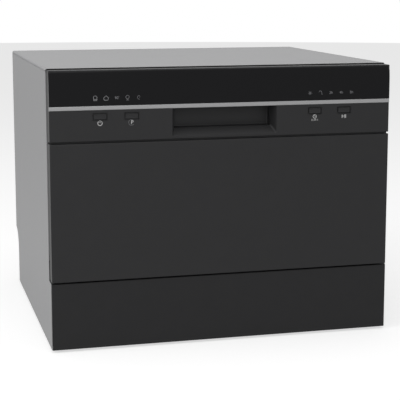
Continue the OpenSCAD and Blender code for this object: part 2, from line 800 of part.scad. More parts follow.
// Small pump with its outlet stub on top
module drain_pump() {
    color(base_black) difference() {
        union() {
            bar_x(drain_x - 30, drain_x + 12, drain_y, drain_z, drain_body_r);
            bar_x(drain_x + 12 - eps, drain_x + 44, drain_y, drain_z, 17);
            bar_z(drain_z + drain_body_r - 4, drain_z + drain_body_r + 8, spigot_x, drain_y, 8);
        }
        bar_x(drain_x - 26, drain_x - 6, drain_y, drain_z, 18);
        bar_x(drain_x - 7, drain_x + 30, drain_y, drain_z, 3 + run);
    }
}

module drain_impeller() {
    color(plastic_white) {
        bar_x(drain_x - 22, drain_x + 24, drain_y, drain_z, 3);
        for (i = [0:3]) translate([0, drain_y, drain_z]) rotate([90 * i + 45, 0, 0])
            box([drain_x - 24, -1, 2], [drain_x - 9, 1, 16]);
    }
}

// Riser loop from the drain pump back to the spigot
module drain_pipe() {
    top = drain_z + drain_body_r + 40;
    color(base_black) pipe([
        [spigot_x, drain_y, drain_z + drain_body_r + 8 + seat], [spigot_x, drain_y, top],
        [spigot_x, cove_y - 58, top], [spigot_x, cove_y - 58, port_z],
        [spigot_x, cove_y - 30 - seat, port_z]
    ], 8, 16);
}

// Outlet through the rear wall of the connection space
module drain_spigot() {
    color(base_black) difference() {
        union() {
            bar_y(cove_y - 30, cove_y + 7, spigot_x, port_z, drain_r + 1.5);
            bar_y(cove_y + 7 - eps, cove_y + 32, spigot_x, port_z, drain_r);
            bar_y(cove_y - sheet_t - 4, cove_y - sheet_t, spigot_x, port_z, 18);
            bar_y(cove_y, cove_y + 3, spigot_x, port_z, 18);
            translate([spigot_x, cove_y + 32, port_z]) rotate([-90, 0, 0])
                cylinder(r1 = drain_r, r2 = drain_r - 1, h = 2);
        }
        bar_y(cove_y - 31, cove_y + 40, spigot_x, port_z, drain_r - 2.5);
    }
}

// Solenoid valve with the threaded inlet at the rear
module inlet_valve() {
    color(plastic_white) difference() {
        union() {
            bar_y(cove_y - sheet_t - 4, cove_y + 24, inlet_x, port_z, inlet_r);
            bar_y(cove_y, cove_y + 5, inlet_x, port_z, 21);
            bar_y(cove_y - sheet_t - 4, cove_y - sheet_t, inlet_x, port_z, 24);
            box([inlet_x - 16, cove_y - 50, port_z - 16],
                [inlet_x + 16, cove_y - sheet_t - 4 + eps, port_z + 16]);
            bar_z(port_z + 15, port_z + 52, inlet_x, cove_y - 30, 15);
            box([inlet_x - 3, cove_y - 40, tray_top], [inlet_x + 3, cove_y - 20, port_z - 15]);
        }
        bar_y(cove_y - 6, cove_y + 25, inlet_x, port_z, 9);
    }
}

// Air gap chamber beside the tub, with its round vent inside
module air_break() {
    x0 = -tub_hw - tub_t - 28;
    x1 = -tub_hw - tub_t - seat / 2;
    color(plastic_white) {
        difference() {
            along_x(x0, x1) rounded([vent_y - 90, tub_floor_z + 20], [vent_y + 80, vent_z + 90], 14);
            for (i = [0:3]) along_x(x0 - 1, x0 + 5)
                rounded([vent_y - 74 + 38 * i, tub_floor_z + 36], [vent_y - 46 + 38 * i, vent_z + 74], 6);
        }
        bar_x(x1 - eps, -tub_hw + 1, vent_y, vent_z, 20 - seat / 2);
        bar_x(-tub_hw + seat, -tub_hw + 6, vent_y, vent_z, 25);
        bar_z(tub_floor_z - 90, tub_floor_z + 21, (x0 + x1) / 2, vent_y + 40, 8);
    }
}

module cord_gland() {
    color(base_black) difference() {
        union() {
            bar_y(cove_y, cove_y + 3, gland_x, port_z, 13);
            bar_y(cove_y - 12, cove_y + 12, gland_x, port_z, 9);
            bar_y(cove_y - sheet_t - 3, cove_y - sheet_t, gland_x, port_z, 12.5);
        }
        bar_y(cove_y - 13, cove_y + 13, gland_x, port_z, gland_bore_r);
    }
}

// Float that rises on its guide pin and lifts the switch lever
module leak_float() {
    color(plastic_white) translate([float_x, float_y, 0]) difference() {
        translate([0, 0, tray_top + seat]) cylinder(r = 20, h = 14);
        cylinder(r = 3 + run, h = 60);
    }
}

module float_switch() {
    color(plastic_grey) {
        box([float_x - 44, float_y - 8, tray_top], [float_x - 24, float_y + 8, tray_top + 46]);
        box([float_x - 25, float_y - 6, tray_top + 34], [float_x + 8, float_y + 6, tray_top + 36]);
    }
}

// ---------- hinges and catch ----------

// Steel bracket on the tray: foot, leg, neck and ear for the pin
module hinge_bracket(side) {
    t = 3;
    leg_y = flange_y - 5;
    color(zinc) mirrored(side) {
        along_x(bracket_x, bracket_x + t) difference() {
            union() {
                translate([hinge_y, hinge_z]) circle(ear_r);
                translate([hinge_y, hinge_z - ear_r]) square([leg_y + 20 - hinge_y, 2 * ear_r]);
                translate([leg_y, tray_top]) square([27, hinge_z + ear_r - tray_top]);
                translate([leg_y - 14, tray_top]) square([15, 50]);
            }
            translate([hinge_y, hinge_z]) circle(hinge_pin_r + run);
        }
        box([bracket_x - 14, leg_y, tray_top], [bracket_x + eps, leg_y + 27, tray_top + 2]);
        bar_x(arm_x - 8, bracket_x + eps, lever_y, tray_top + 28, 2);
    }
}

// Arm fixed inside the door, with the pin, the spring lever and its peg
module hinge_arm(side) {
    t = 2.5;
    color(zinc) mirrored(side) {
        along_x(arm_x, arm_x + t) {
            translate([hinge_y, hinge_z]) circle(ear_r);
            translate([hinge_y - 4.5, hinge_z]) square([shell_back - seat - hinge_y + 4.5, 130]);
            translate([hinge_y, hinge_z]) rotate(atan2(lever_z - hinge_z, lever_y - hinge_y))
                translate([0, -4]) square([norm([lever_z - hinge_z, lever_y - hinge_y]), 8]);
            translate([lever_y, lever_z]) circle(4);
        }
        bar_x(arm_x + t - eps, bracket_x + 5, hinge_y, hinge_z, hinge_pin_r);
        bar_x(arm_x - 8, arm_x + eps, lever_y, lever_z, 2);
    }
}

// Tension spring between the bracket's peg and the lever's peg
module door_spring(side) {
    x = arm_x - 4.5;
    low = tray_top + 28;
    ring_r = 3.2;
    wire_r = 0.7;
    color(zinc) mirrored(side) {
        for (z = [low, lever_z]) translate([x, lever_y, z]) rotate([0, 90, 0])
            rotate_extrude() translate([ring_r, 0]) circle(wire_r, $fn = 16);
        bar_z(low + 9, lever_z - 9, x, lever_y, 4);
        bar_z(low + ring_r - 0.2, low + 9.2, x, lever_y, wire_r + 0.2);
        bar_z(lever_z - 9.2, lever_z - ring_r + 0.2, x, lever_y, wire_r + 0.2);
    }
}

// Tongue on the tub's front flange
module latch_striker() {
    color(zinc) {
        box([-14, flange_y - 1.5, striker_z - 1], [14, flange_y, striker_z + 5.5]);
        difference() {
            along_z(striker_z, striker_z + 2) rounded([-8, flange_y - 28], [8, flange_y - 1], 3);
            box([-4, flange_y - 25, striker_z - 1], [4, flange_y - 18, striker_z + 4]);
        }
    }
}

module door_lock() {
    z0 = trim_bot + 20;
    color(plastic_grey) difference() {
        box([-24, front + fascia_t + mould_t + seat, z0], [24, shell_back - seat, door_top - mould_t - seat]);
        box([-14, front + 10, striker_z - 3.5], [14, liner_y, door_top]);
        box([-16, shell_back - 8, striker_z - 5], [16, liner_y, door_top]);
    }
}

// ---------- door ----------

// Solid outline of a door part with rounded front edges, open at the back
module door_form(z0, z1, top_r, bottom_r) {
    intersection() {
        along_x(-door_hw, door_hw) difference() {
            translate([front, z0]) square([shell_back - front, z1 - z0]);
            corner_cut([front, z1], top_r, 1, -1);
            corner_cut([front, z0], bottom_r, 1, 1);
        }
        along_z(z0, z1) difference() {
            translate([-door_hw, front]) square([2 * door_hw, shell_back - front]);
            corner_cut([-door_hw, front], door_edge_r, 1, 1);
            corner_cut([door_hw, front], door_edge_r, -1, 1);
        }
        along_y(front, door_back) rounded([-door_hw, z0], [door_hw, z1], 3);
    }
}

module door_panel() {
    color(black_paint) difference() {
        door_form(door_bot, panel_top, door_edge_r, door_edge_r);
        box([-door_hw + skin_t, front + skin_t, door_bot + skin_t],
            [door_hw - skin_t, door_back + 1, panel_top - skin_t]);
        both_sides()
            box([notch_in, front + skin_t, door_bot - 1], [notch_out, door_back + 1, door_bot + skin_t + 1]);
    }
}

// Section of the handle recess (Y, Z): sloping floor, round back, grip behind the silver line
module pocket_section(grow) {
    deep = front + pocket_d;
    roof = trim_bot + 10;
    floor_back = pocket_bot + 8;
    offset(delta = grow) polygon([
        [front - 1 - grow, pocket_bot], [front + 2, pocket_bot], [deep - 10, floor_back],
        [deep - 4, floor_back + 3], [deep, floor_back + 9],
        [deep, roof - 6], [deep - 2, roof - 2], [deep - 6, roof],
        [front + 6, roof], [front + 6, trim_bot], [front - 1 - grow, trim_bot]
    ]);
}

module pocket_form(grow) {
    half = pocket_w / 2 + grow;
    intersection() {
        along_x(-half, half) pocket_section(grow);
        along_z(pocket_bot - 5, trim_bot + 20) polygon([
            [-half, front - 5], [half, front - 5], [half, front],
            [half - pocket_draft, front + pocket_d + grow],
            [-half + pocket_draft, front + pocket_d + grow], [-half, front]
        ]);
    }
}

// Moulding behind everything on the door's upper part
module control_panel() {
    inner_hw = door_hw - mould_t;
    color(black_paint) difference() {
        union() {
            difference() {
                door_form(control_bot, door_top, top_edge_r, door_edge_r);
                box([-inner_hw, front + mould_t, control_bot + mould_t],
                    [inner_hw, door_back + 1, trim_bot - 2]);
                box([-inner_hw, front + fascia_t + mould_t, control_bot + mould_t + 20],
                    [inner_hw, door_back + 1, door_top - mould_t]);
            }
            intersection() {
                pocket_form(mould_t - 0.7);
                box([-hw, front + fascia_t, control_bot], [hw, 0, door_top - 1]);
            }
            // Bosses for the boards
            for (s = [-1, 1], x = [108, 228], z = [control_bot + 20, door_top - 14])
                bar_y(front + mould_t - 0.5, board_y, s * x, z, 3);
        }
        pocket_form(0);
        // Seats of the gloss strip and the silver line
        box([-hw, front - 1, fascia_bot], [hw, front + fascia_t, door_top + 1]);
        box([-hw, front - 1, trim_bot], [hw, front + fascia_t, fascia_bot + eps]);
        for (x = button_xs) {
            along_y(front - 1, front + mould_t + 1)
                rounded([x - button_w / 2 - seat, button_z - button_h / 2 - seat],
                        [x + button_w / 2 + seat, button_z + button_h / 2 + seat], 1.5);
            along_y(front - 1, front + 0.7)
                rounded([x - button_w / 2 - 1.5, button_z - button_h / 2 - 1.5],
                        [x + button_w / 2 + 1.5, button_z + button_h / 2 + 1.5], 2);
        }
    }
}

// Gloss strip over the upper edge of the door
module control_fascia() {
    color(black_gloss) intersection() {
        door_form(control_bot, door_top, top_edge_r, door_edge_r);
        box([-hw, front - 1, fascia_bot + 0.15], [hw, front + fascia_t, door_top + 1]);
    }
}

module trim_strip() {
    color(trim_silver) intersection() {
        door_form(control_bot, door_top, top_edge_r, door_edge_r);
        box([-hw, front - 1, trim_bot], [hw, front + fascia_t, fascia_bot]);
    }
}

// Two boards with switches, lamps and a few parts
module control_board() {
    color(board_green) for (s = [-1, 1]) {
        difference() {
            box([s * 168 - 64, board_y, control_bot + 14], [s * 168 + 64, board_y + 1.6, door_top - 8]);
            for (x = [116, 224], z = [control_bot + 30, door_top - 26])
                bar_y(board_y - 1, board_y + 3, s * x, z, 1.6);
        }
        for (x = [button_near, button_near + button_pitch])
            box([s * x - 3, board_y - 2.2, button_z - 3], [s * x + 3, board_y + eps, button_z + 3]);
        for (i = [0:4])
            box([s * (button_near - 9) + s * 17 * i - 2, board_y - 1.5, fascia_bot + 9],
                [s * (button_near - 9) + s * 17 * i + 2, board_y + eps, fascia_bot + 13]);
        box([s * 150 - 12, board_y + 1.6 - eps, control_bot + 44],
            [s * 150 + 12, board_y + 4, control_bot + 60]);
        bar_y(board_y + 1.5, board_y + 8, s * 190, control_bot + 52, 5);
    }
}

// Cap with a retaining flange and a stem to its switch
module button(x) {
    flange = 1.4;
    color(black_gloss) {
        along_y(front + 0.3, front + mould_t + seat)
            rounded([x - button_w / 2, button_z - button_h / 2],
                    [x + button_w / 2, button_z + button_h / 2], 1.3);
        box([x - button_w / 2 - 1.5, front + mould_t + seat - eps, button_z - button_h / 2 - 1.5],
            [x + button_w / 2 + 1.5, front + mould_t + seat + flange, button_z + button_h / 2 + 1.5]);
        bar_y(front + mould_t + seat + flange - eps, board_y - 2.2 - button_travel - seat, x, button_z, 2.5);
    }
}

// Pressed liner: rim, dished field, rounded corners, cut-outs for the hinges, lock and dispenser
module door_liner() {
    dish_x = tub_hw - 6;
    dish_z0 = lip_z + 11;
    dish_z1 = tub_ceil - 6;
    color(stainless) difference() {
        union() {
            difference() {
                along_y(shell_back, liner_y) rounded([-liner_hw, liner_bot], [liner_hw, liner_top], 8);
                along_y(shell_back - 1, liner_y - liner_t)
                    rounded([-liner_hw + liner_t, liner_bot + liner_t],
                        [liner_hw - liner_t, liner_top - liner_t], 7);
            }
            along_y(dish_y - liner_t, liner_y - eps)
                rounded([-dish_x - liner_t, dish_z0 - liner_t], [dish_x + liner_t, dish_z1 + liner_t], 16);
            along_y(shell_back, shell_back + liner_t) difference() {
                rounded([-door_hw + 0.5, door_bot + 0.5], [door_hw - 0.5, door_top - 0.5], 2.5);
                rounded([-liner_hw + liner_t, liner_bot + liner_t],
                        [liner_hw - liner_t, liner_top - liner_t], 7);
            }
        }
        along_y(dish_y, liner_y + 1) rounded([-dish_x, dish_z0], [dish_x, dish_z1], 15);
        both_sides() box([notch_in, front, door_bot - 1], [notch_out, liner_y + 1, hinge_z + ear_r + 3]);
        box([-18, shell_back - 1, striker_z - 4.5], [18, liner_y + 1, striker_z + 3.2]);
        along_y(dish_y - 3, liner_y + 1)
            rounded([disp_x0 + 6 - seat, disp_z0 + 6 - seat], [disp_x1 - 6 + seat, disp_z1 - 6 + seat], 6);
    }
}

// Dispenser: face plate, body behind the liner, cup, pre-wash pocket, cap seat, lid tracks
module dispenser() {
    color(plastic_grey) difference() {
        union() {
            along_y(dish_y, disp_y - 3) rounded([disp_x0, disp_z0], [disp_x1, disp_z1], 10);
            along_y(dish_y - 24, dish_y + 1)
                rounded([disp_x0 + 6, disp_z0 + 6], [disp_x1 - 6, disp_z1 - 6], 6);
            for (z = [cup_z0 - 5.5, cup_z1 + 2.5])
                box([cup_x0 - 4, disp_y - 3 - eps, z], [disp_x1 - 8, disp_y - 1, z + 3]);
        }
        along_y(dish_y - 21, disp_y) rounded([cup_x0, cup_z0], [cup_x1, cup_z1], 9);
        along_y(dish_y - 8, disp_y) rounded([cup_x0, cup_z1 + 10], [cup_x1, disp_z1 - 9], 8);
        bar_y(dish_y - 12, disp_y, cap_x, cap_z, 15 + run);
    }
}

// Lid that slides sideways over the cup
module detergent_lid() {
    y0 = disp_y - 3 + seat;
    color(plastic_white) {
        along_y(y0, y0 + 2) rounded([cup_x0 - 3, cup_z0 - 2], [cup_x1 + 2, cup_z1 + 2], 8);
        box([cup_x1 - 10, y0 + 2 - eps, cup_z0 + 6], [cup_x1 - 5, y0 + 4.5, cup_z1 - 6]);
    }
}

// Quarter-turn cap of the rinse aid tank
module rinse_cap() {
    y0 = disp_y - 3 + seat;
    color(plastic_blue) {
        bar_y(dish_y - 9, y0 + eps, cap_x, cap_z, 15);
        bar_y(y0, y0 + 1.5, cap_x, cap_z, 17);
        box([cap_x - 12, y0 + 1.5 - eps, cap_z - 2], [cap_x + 12, y0 + 4.5, cap_z + 2]);
    }
}

// ---------- rack ----------

module wire_rack() {
    bend = 20;
    nx = round((2 * rack_hw - 2 * bend) / wire_pitch);
    ny = round((rack_y1 - rack_y0 - 2 * bend) / wire_pitch);
    x_step = (2 * rack_hw - 2 * bend) / nx;
    y_step = (rack_y1 - rack_y0 - 2 * bend) / ny;
    floor_nx = 12;
    floor_step = 2 * (rack_hw - 24) / floor_nx;
    tine_step = (rack_y1 - rack_y0 - 70) / (tine_count - 1);
    color(rack_grey) {
        wire_loop(-rack_hw, rack_y0, rack_hw, rack_y1, rack_rim, frame_wire_r, bend);
        wire_loop(-rack_hw, rack_y0, rack_hw, rack_y1, rack_floor, frame_wire_r, bend);
        for (i = [0:nx], y = [rack_y0, rack_y1])
            bar_z(rack_floor - 1, rack_rim + 1, -rack_hw + bend + i * x_step, y, thin_wire_r);
        for (i = [0:ny], x = [-rack_hw, rack_hw])
            bar_z(rack_floor - 1, rack_rim + 1, x, rack_y0 + bend + i * y_step, thin_wire_r);
        // Floor: wires along Y on wires along X
        for (i = [0:floor_nx])
            bar_y(rack_y0 - 1, rack_y1 + 1, -rack_hw + 24 + i * floor_step, rack_floor + 0.4, thin_wire_r);
        for (y = [rack_y0 + 60, arm_y + 40, rack_y1 - 80])
            bar_x(-rack_hw - 1, rack_hw + 1, y, rack_floor - 1.6, 1.9);
        // Two rows of plate tines on cross wires of their own
        for (x = [-rack_hw + 24 + 4 * floor_step, -rack_hw + 24 + 8 * floor_step], i = [0:tine_count - 1])
            bar_z(rack_floor, rack_floor + tine_h, x, rack_y0 + 35 + i * tine_step, thin_wire_r + 0.3);
        // Cross wires that carry the wheel holders
        for (y = [front_wheel_y, rear_wheel_y], dy = [-6, 6])
            bar_x(-rack_hw - 1, rack_hw + 1, y + dy, rack_floor - 1.6, 1.9);
    }
}

// Clips under the rack with the axle stubs of the wheels
module wheel_holders() {
    top = rack_floor - 1.6;
    color(plastic_grey) both_sides() for (y = [front_wheel_y, rear_wheel_y]) difference() {
        union() {
            along_x(holder_x - 3, holder_x + 3) {
                translate([y, wheel_z]) circle(7);
                translate([y - 7, wheel_z]) square([14, top + 3.5 - wheel_z]);
                translate([y - 10, top - 4]) square([20, 7.5]);
            }
            bar_x(holder_x, wheel_x + wheel_w / 2 + 2, y, wheel_z, axle_r);
        }
        for (dy = [-6, 6]) bar_x(holder_x - 4, holder_x + 4, y + dy, top, 1.9 + seat / 2);
        box([holder_x - 4, y - 1.9, top - 6], [holder_x + 4, y + 1.9, top + 4]);
    }
}

// Bent wire on the rack's rim round which the cup shelf folds
module shelf_wire() {
    y0 = shelf_y - shelf_l / 2 - 8;
    y1 = shelf_y + shelf_l / 2 + 8;
    low = rack_rim + frame_wire_r + 0.15 + 1.8;
    color(rack_grey)
        pipe([
            [-rack_hw - 4, y0, low], [shelf_hinge_x, y0, low], [shelf_hinge_x, y0, shelf_hinge_z],
            [shelf_hinge_x, y1, shelf_hinge_z], [shelf_hinge_x, y1, low], [-rack_hw - 4, y1, low]
        ], 1.8, 2.4);
}

// Two wheels on one axle line
module wheels(y) {
    color(plastic_grey) both_sides() difference() {
        bar_x(wheel_x - wheel_w / 2, wheel_x + wheel_w / 2, y, wheel_z, wheel_r);
        bar_x(wheel_x - wheel_w, wheel_x + wheel_w, y, wheel_z, axle_r + run);
        for (i = [0:4]) translate([0, y, wheel_z]) rotate([72 * i, 0, 0])
            bar_x(wheel_x - wheel_w, wheel_x + wheel_w, 0, (wheel_r + axle_r) / 2 + 0.3, 1.8);
    }
}

// Folding shelf with notches for glass stems, clipped round its hinge wire
module cup_shelf() {
    t = 3;
    x0 = shelf_hinge_x;
    slots = 5;
    step = shelf_l / slots;
    color(plastic_grey) difference() {
        union() {
            along_z(shelf_hinge_z - t / 2, shelf_hinge_z + t / 2) difference() {
                rounded([x0 + 3, shelf_y - shelf_l / 2], [x0 + shelf_reach, shelf_y + shelf_l / 2], 6);
                for (i = [0:slots - 1]) translate([0, shelf_y - shelf_l / 2 + (i + 0.5) * step]) {
                    translate([x0 + shelf_reach - 24, -6]) square([30, 12]);
                    translate([x0 + shelf_reach - 24, 0]) circle(9);
                    rounded([x0 + 12, -step / 2 + 5], [x0 + shelf_reach - 40, step / 2 - 5], 4);
                }
            }
            // Clips
            for (y = [shelf_y - shelf_l / 2 + 12, shelf_y, shelf_y + shelf_l / 2 - 12]) {
                bar_y(y - 8, y + 8, x0, shelf_hinge_z, 4);
                box([x0, y - 8, shelf_hinge_z - t / 2], [x0 + 6, y + 8, shelf_hinge_z + t / 2]);
            }
        }
        bar_y(shelf_y - shelf_l, shelf_y + shelf_l, x0, shelf_hinge_z, 1.8 + run);
    }
}

// Basket of six cells with slotted walls and an arched handle
module cutlery_basket() {
    x0 = basket_x - basket_w / 2;
    x1 = basket_x + basket_w / 2;
    y0 = basket_y - basket_l / 2;
    y1 = basket_y + basket_l / 2;
    pitch_x = (basket_w - basket_wall) / 2;
    pitch_y = (basket_l - basket_wall) / 3;
    z1 = basket_z + basket_h;
    color(plastic_grey) {
        difference() {
            along_z(basket_z, z1) rounded([x0, y0], [x1, y1], 8);
            for (i = [0:1], j = [0:2])
                along_z(basket_z + 2, z1 + 1) translate([x0 + i * pitch_x, y0 + j * pitch_y])
                    rounded([basket_wall, basket_wall], [pitch_x, pitch_y], 5);
            for (j = [0:2], k = [-1:1], m = [0:2])
                along_x(x0 - 1, x1 + 1)
                    translate([y0 + (j + 0.5) * pitch_y + k * 12 - 2, basket_z + 10 + m * 26])
                        square([6, 20]);
        }
        // Handle over the middle wall
        for (y = [y0 + 9, y1 - 9])
            box([basket_x - 1, y - 8, z1 - 10], [basket_x + 1, y + 8, z1 + 18]);
        box([basket_x - 1, y0 + 1, z1 + 16], [basket_x + 1, y1 - 1, z1 + 24]);
        box([basket_x - 6, basket_y - 30, z1 + 22], [basket_x + 6, basket_y + 30, z1 + 26]);
    }
}

// ---------- nodes ----------

side_panel(-1);  // left_side_panel
side_panel(1);  // right_side_panel
top_panel();
back_panel();
base_tray();
kick_plate();
foot(-foot_x, foot_front_y);  // foot_front_left
foot(foot_x, foot_front_y);  // foot_front_right
foot(-foot_x, foot_rear_y);  // foot_rear_left
foot(foot_x, foot_rear_y);  // foot_rear_right
tub();
door_gasket();
rack_rails();
sump();
filter_plate();
filter_cylinder();
salt_container();
salt_cap();
spray_feed();
spray_arm();
wash_pump();
wash_impeller();
water_heater();
drain_pump();
drain_impeller();
drain_pipe();
drain_spigot();
inlet_valve();
air_break();
cord_gland();
leak_float();
float_switch();
hinge_bracket(-1);  // hinge_bracket_left
hinge_bracket(1);  // hinge_bracket_right
hinge_arm(-1);  // hinge_arm_left
hinge_arm(1);  // hinge_arm_right
door_spring(-1);  // door_spring_left
door_spring(1);  // door_spring_right
latch_striker();
door_lock();
door_panel();
control_panel();
control_fascia();
trim_strip();
control_board();
button(button_xs[0]);  // power_button
button(button_xs[1]);  // programme_button
button(button_xs[2]);  // delay_button
button(button_xs[3]);  // start_button
door_liner();
dispenser();
detergent_lid();
rinse_cap();
wire_rack();
wheel_holders();
wheels(front_wheel_y);  // front_wheels
wheels(rear_wheel_y);  // rear_wheels
shelf_wire();
cup_shelf();
cutlery_basket();
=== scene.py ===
# %% [markdown]
# # A countertop dishwasher, dressed in Blender
#
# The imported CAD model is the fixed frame. It already has every panel, hinge, wire and pump
# at its real place, in metres, with the door facing -Y. This file adds what CAD leaves plain:
# the finishes, the printed symbols, soft edges, caps, springs, a thread, screws and pressed
# ribs.

# %% Load the frame
import json
import math

import bmesh
import bpy
from mathutils import Matrix, Vector


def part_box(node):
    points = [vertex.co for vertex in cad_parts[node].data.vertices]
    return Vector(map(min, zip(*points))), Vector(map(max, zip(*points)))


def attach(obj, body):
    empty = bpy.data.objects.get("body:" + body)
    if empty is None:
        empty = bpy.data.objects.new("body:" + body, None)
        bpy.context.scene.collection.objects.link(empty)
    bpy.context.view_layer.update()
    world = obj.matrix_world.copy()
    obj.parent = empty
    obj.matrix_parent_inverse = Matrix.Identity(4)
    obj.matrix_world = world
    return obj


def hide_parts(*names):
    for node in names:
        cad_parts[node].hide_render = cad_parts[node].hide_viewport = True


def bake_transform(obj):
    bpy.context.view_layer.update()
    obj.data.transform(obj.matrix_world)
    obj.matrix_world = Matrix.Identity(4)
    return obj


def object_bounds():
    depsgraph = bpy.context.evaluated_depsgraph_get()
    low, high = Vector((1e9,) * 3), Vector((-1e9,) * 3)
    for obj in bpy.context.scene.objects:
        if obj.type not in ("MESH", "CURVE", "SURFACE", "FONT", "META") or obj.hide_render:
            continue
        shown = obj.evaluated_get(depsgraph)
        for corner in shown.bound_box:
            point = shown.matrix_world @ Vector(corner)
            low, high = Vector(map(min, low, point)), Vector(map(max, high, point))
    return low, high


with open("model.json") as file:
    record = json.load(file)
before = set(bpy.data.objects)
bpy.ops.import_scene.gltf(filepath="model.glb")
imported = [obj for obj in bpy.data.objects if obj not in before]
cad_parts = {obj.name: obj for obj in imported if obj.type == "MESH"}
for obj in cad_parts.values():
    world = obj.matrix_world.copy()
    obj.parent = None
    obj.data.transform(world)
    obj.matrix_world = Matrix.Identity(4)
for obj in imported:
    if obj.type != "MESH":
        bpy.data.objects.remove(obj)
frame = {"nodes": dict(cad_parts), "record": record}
cad_low, cad_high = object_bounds()
MM = 0.001
print("CAD box in mm:", [round(c / MM, 1) for c in (*cad_low, *cad_high)])

# %% [markdown]
# ## Camera
#
# The photograph looks at the machine from the front left and a little from above, with a long
# lens, so its edges are nearly parallel. The camera is placed by those angles. A small lens
# shift keeps the uprights close to vertical without cutting the other views.

# %% Camera
camera_data = bpy.data.cameras.new("camera")
camera = bpy.data.objects.new("camera", camera_data)
bpy.context.scene.collection.objects.link(camera)
bpy.context.scene.camera = camera
camera.location = (-0.5111, -2.0695, 0.5730)
look_down = math.radians(8.83)
turn_right = math.radians(14.51)
camera.rotation_euler = (math.pi / 2 - look_down, 0, -turn_right)
camera_data.lens = 110.1
camera_data.sensor_width = 36
camera_data.shift_y = -0.08
camera_data.clip_end = 50
print("camera", [round(c, 3) for c in camera.location], "lens", camera_data.lens)

# %% [markdown]
# ## Background and light
#
# The photograph is a product picture on pure white. The world is white only to rays that
# reach the camera, to glossy rays and through glass. What lights the machine is a soft grey
# sky and three soft boxes, at a level at which a colour renders about as it is written.

# %% World
SKY_LEVEL = 0.36
world = bpy.data.worlds.new("studio")
bpy.context.scene.world = world
world.use_nodes = True
world_nodes, world_links = world.node_tree.nodes, world.node_tree.links
background = world_nodes["Background"]
background.inputs["Color"].default_value = (1, 1, 1, 1)
light_path = world_nodes.new("ShaderNodeLightPath")


def either(tree, first, second):
    """A node that is 1 where one of two 0-or-1 sockets is."""
    larger = tree.nodes.new("ShaderNodeMath")
    larger.operation = "MAXIMUM"
    tree.links.new(first, larger.inputs[0])
    tree.links.new(second, larger.inputs[1])
    return larger.outputs[0]


seen = either(world.node_tree, light_path.outputs["Is Camera Ray"],
              light_path.outputs["Is Transmission Ray"])
seen = either(world.node_tree, seen, light_path.outputs["Is Glossy Ray"])
level = world_nodes.new("ShaderNodeMapRange")
level.inputs["To Min"].default_value = SKY_LEVEL
level.inputs["To Max"].default_value = 1.0
world_links.new(seen, level.inputs["Value"])
world_links.new(level.outputs["Result"], background.inputs["Strength"])
bpy.context.scene.view_settings.view_transform = "Standard"
print("sky level", SKY_LEVEL)

# %% Soft boxes


def soft_box(name, place, target, size, watts):
    """A square area lamp at a place, facing a target point."""
    lamp_data = bpy.data.lights.new(name, "AREA")
    lamp_data.size = size
    lamp_data.energy = watts
    lamp = bpy.data.objects.new(name, lamp_data)
    bpy.context.scene.collection.objects.link(lamp)
    lamp.location = place
    toward = Vector(target) - Vector(place)
    lamp.rotation_euler = toward.to_track_quat("-Z", "Y").to_euler()
    print(name, watts, "W,", size, "m wide")


middle = (cad_low + cad_high) / 2
soft_box("lamp_left", (-2.0, -0.6, 1.7), middle, 1.6, 22)
soft_box("lamp_above", (0.1, -0.3, 2.6), middle, 2.0, 17)
soft_box("lamp_front", (-0.5, -2.6, 1.4), middle, 1.6, 14)

# %% [markdown]
# ## Floor
#
# A plain pale floor carries the machine. To the camera, to mirrors and through glass it also
# glows a little, so that it melts into the white behind it and still keeps the soft shadow
# where the machine stands. To all other rays it is grey paper, or it would light the plinth
# from below far more than the photograph shows.

# %% Floor
bpy.ops.object.select_all(action="DESELECT")
bpy.ops.mesh.primitive_circle_add(vertices=96, radius=9, fill_type="NGON", location=(0, 0, 0))
floor = bpy.context.object
floor.name = "floor"
floor_finish = bpy.data.materials.new("floor_white")
floor_finish.use_nodes = True
floor_shader = floor_finish.node_tree.nodes["Principled BSDF"]
floor_shader.inputs["Base Color"].default_value = (0.55, 0.55, 0.55, 1)
floor_shader.inputs["Roughness"].default_value = 0.9
floor_shader.inputs["Specular IOR Level"].default_value = 0.0
floor_shader.inputs["Emission Color"].default_value = (1, 1, 1, 1)
floor_tree = floor_finish.node_tree
floor_path = floor_tree.nodes.new("ShaderNodeLightPath")
glow = floor_tree.nodes.new("ShaderNodeMapRange")
glow.inputs["To Min"].default_value = 0.0
glow.inputs["To Max"].default_value = 0.6
seen = either(floor_tree, floor_path.outputs["Is Camera Ray"],
              floor_path.outputs["Is Transmission Ray"])
seen = either(floor_tree, seen, floor_path.outputs["Is Glossy Ray"])
floor_tree.links.new(seen, glow.inputs["Value"])
floor_tree.links.new(glow.outputs["Result"], floor_shader.inputs["Emission Strength"])
floor.data.materials.append(floor_finish)

# %% [markdown]
# ## Finishes
#
# Every finish starts from one shader with two things that all real surfaces have: a faint
# mottle in colour and gloss, and a fine grain that catches the light. Both are noise in
# Object coordinates, so they stay at their real size and move with the piece. Each finish
# then sets its own scale, depth and gloss.

# %% The common finish


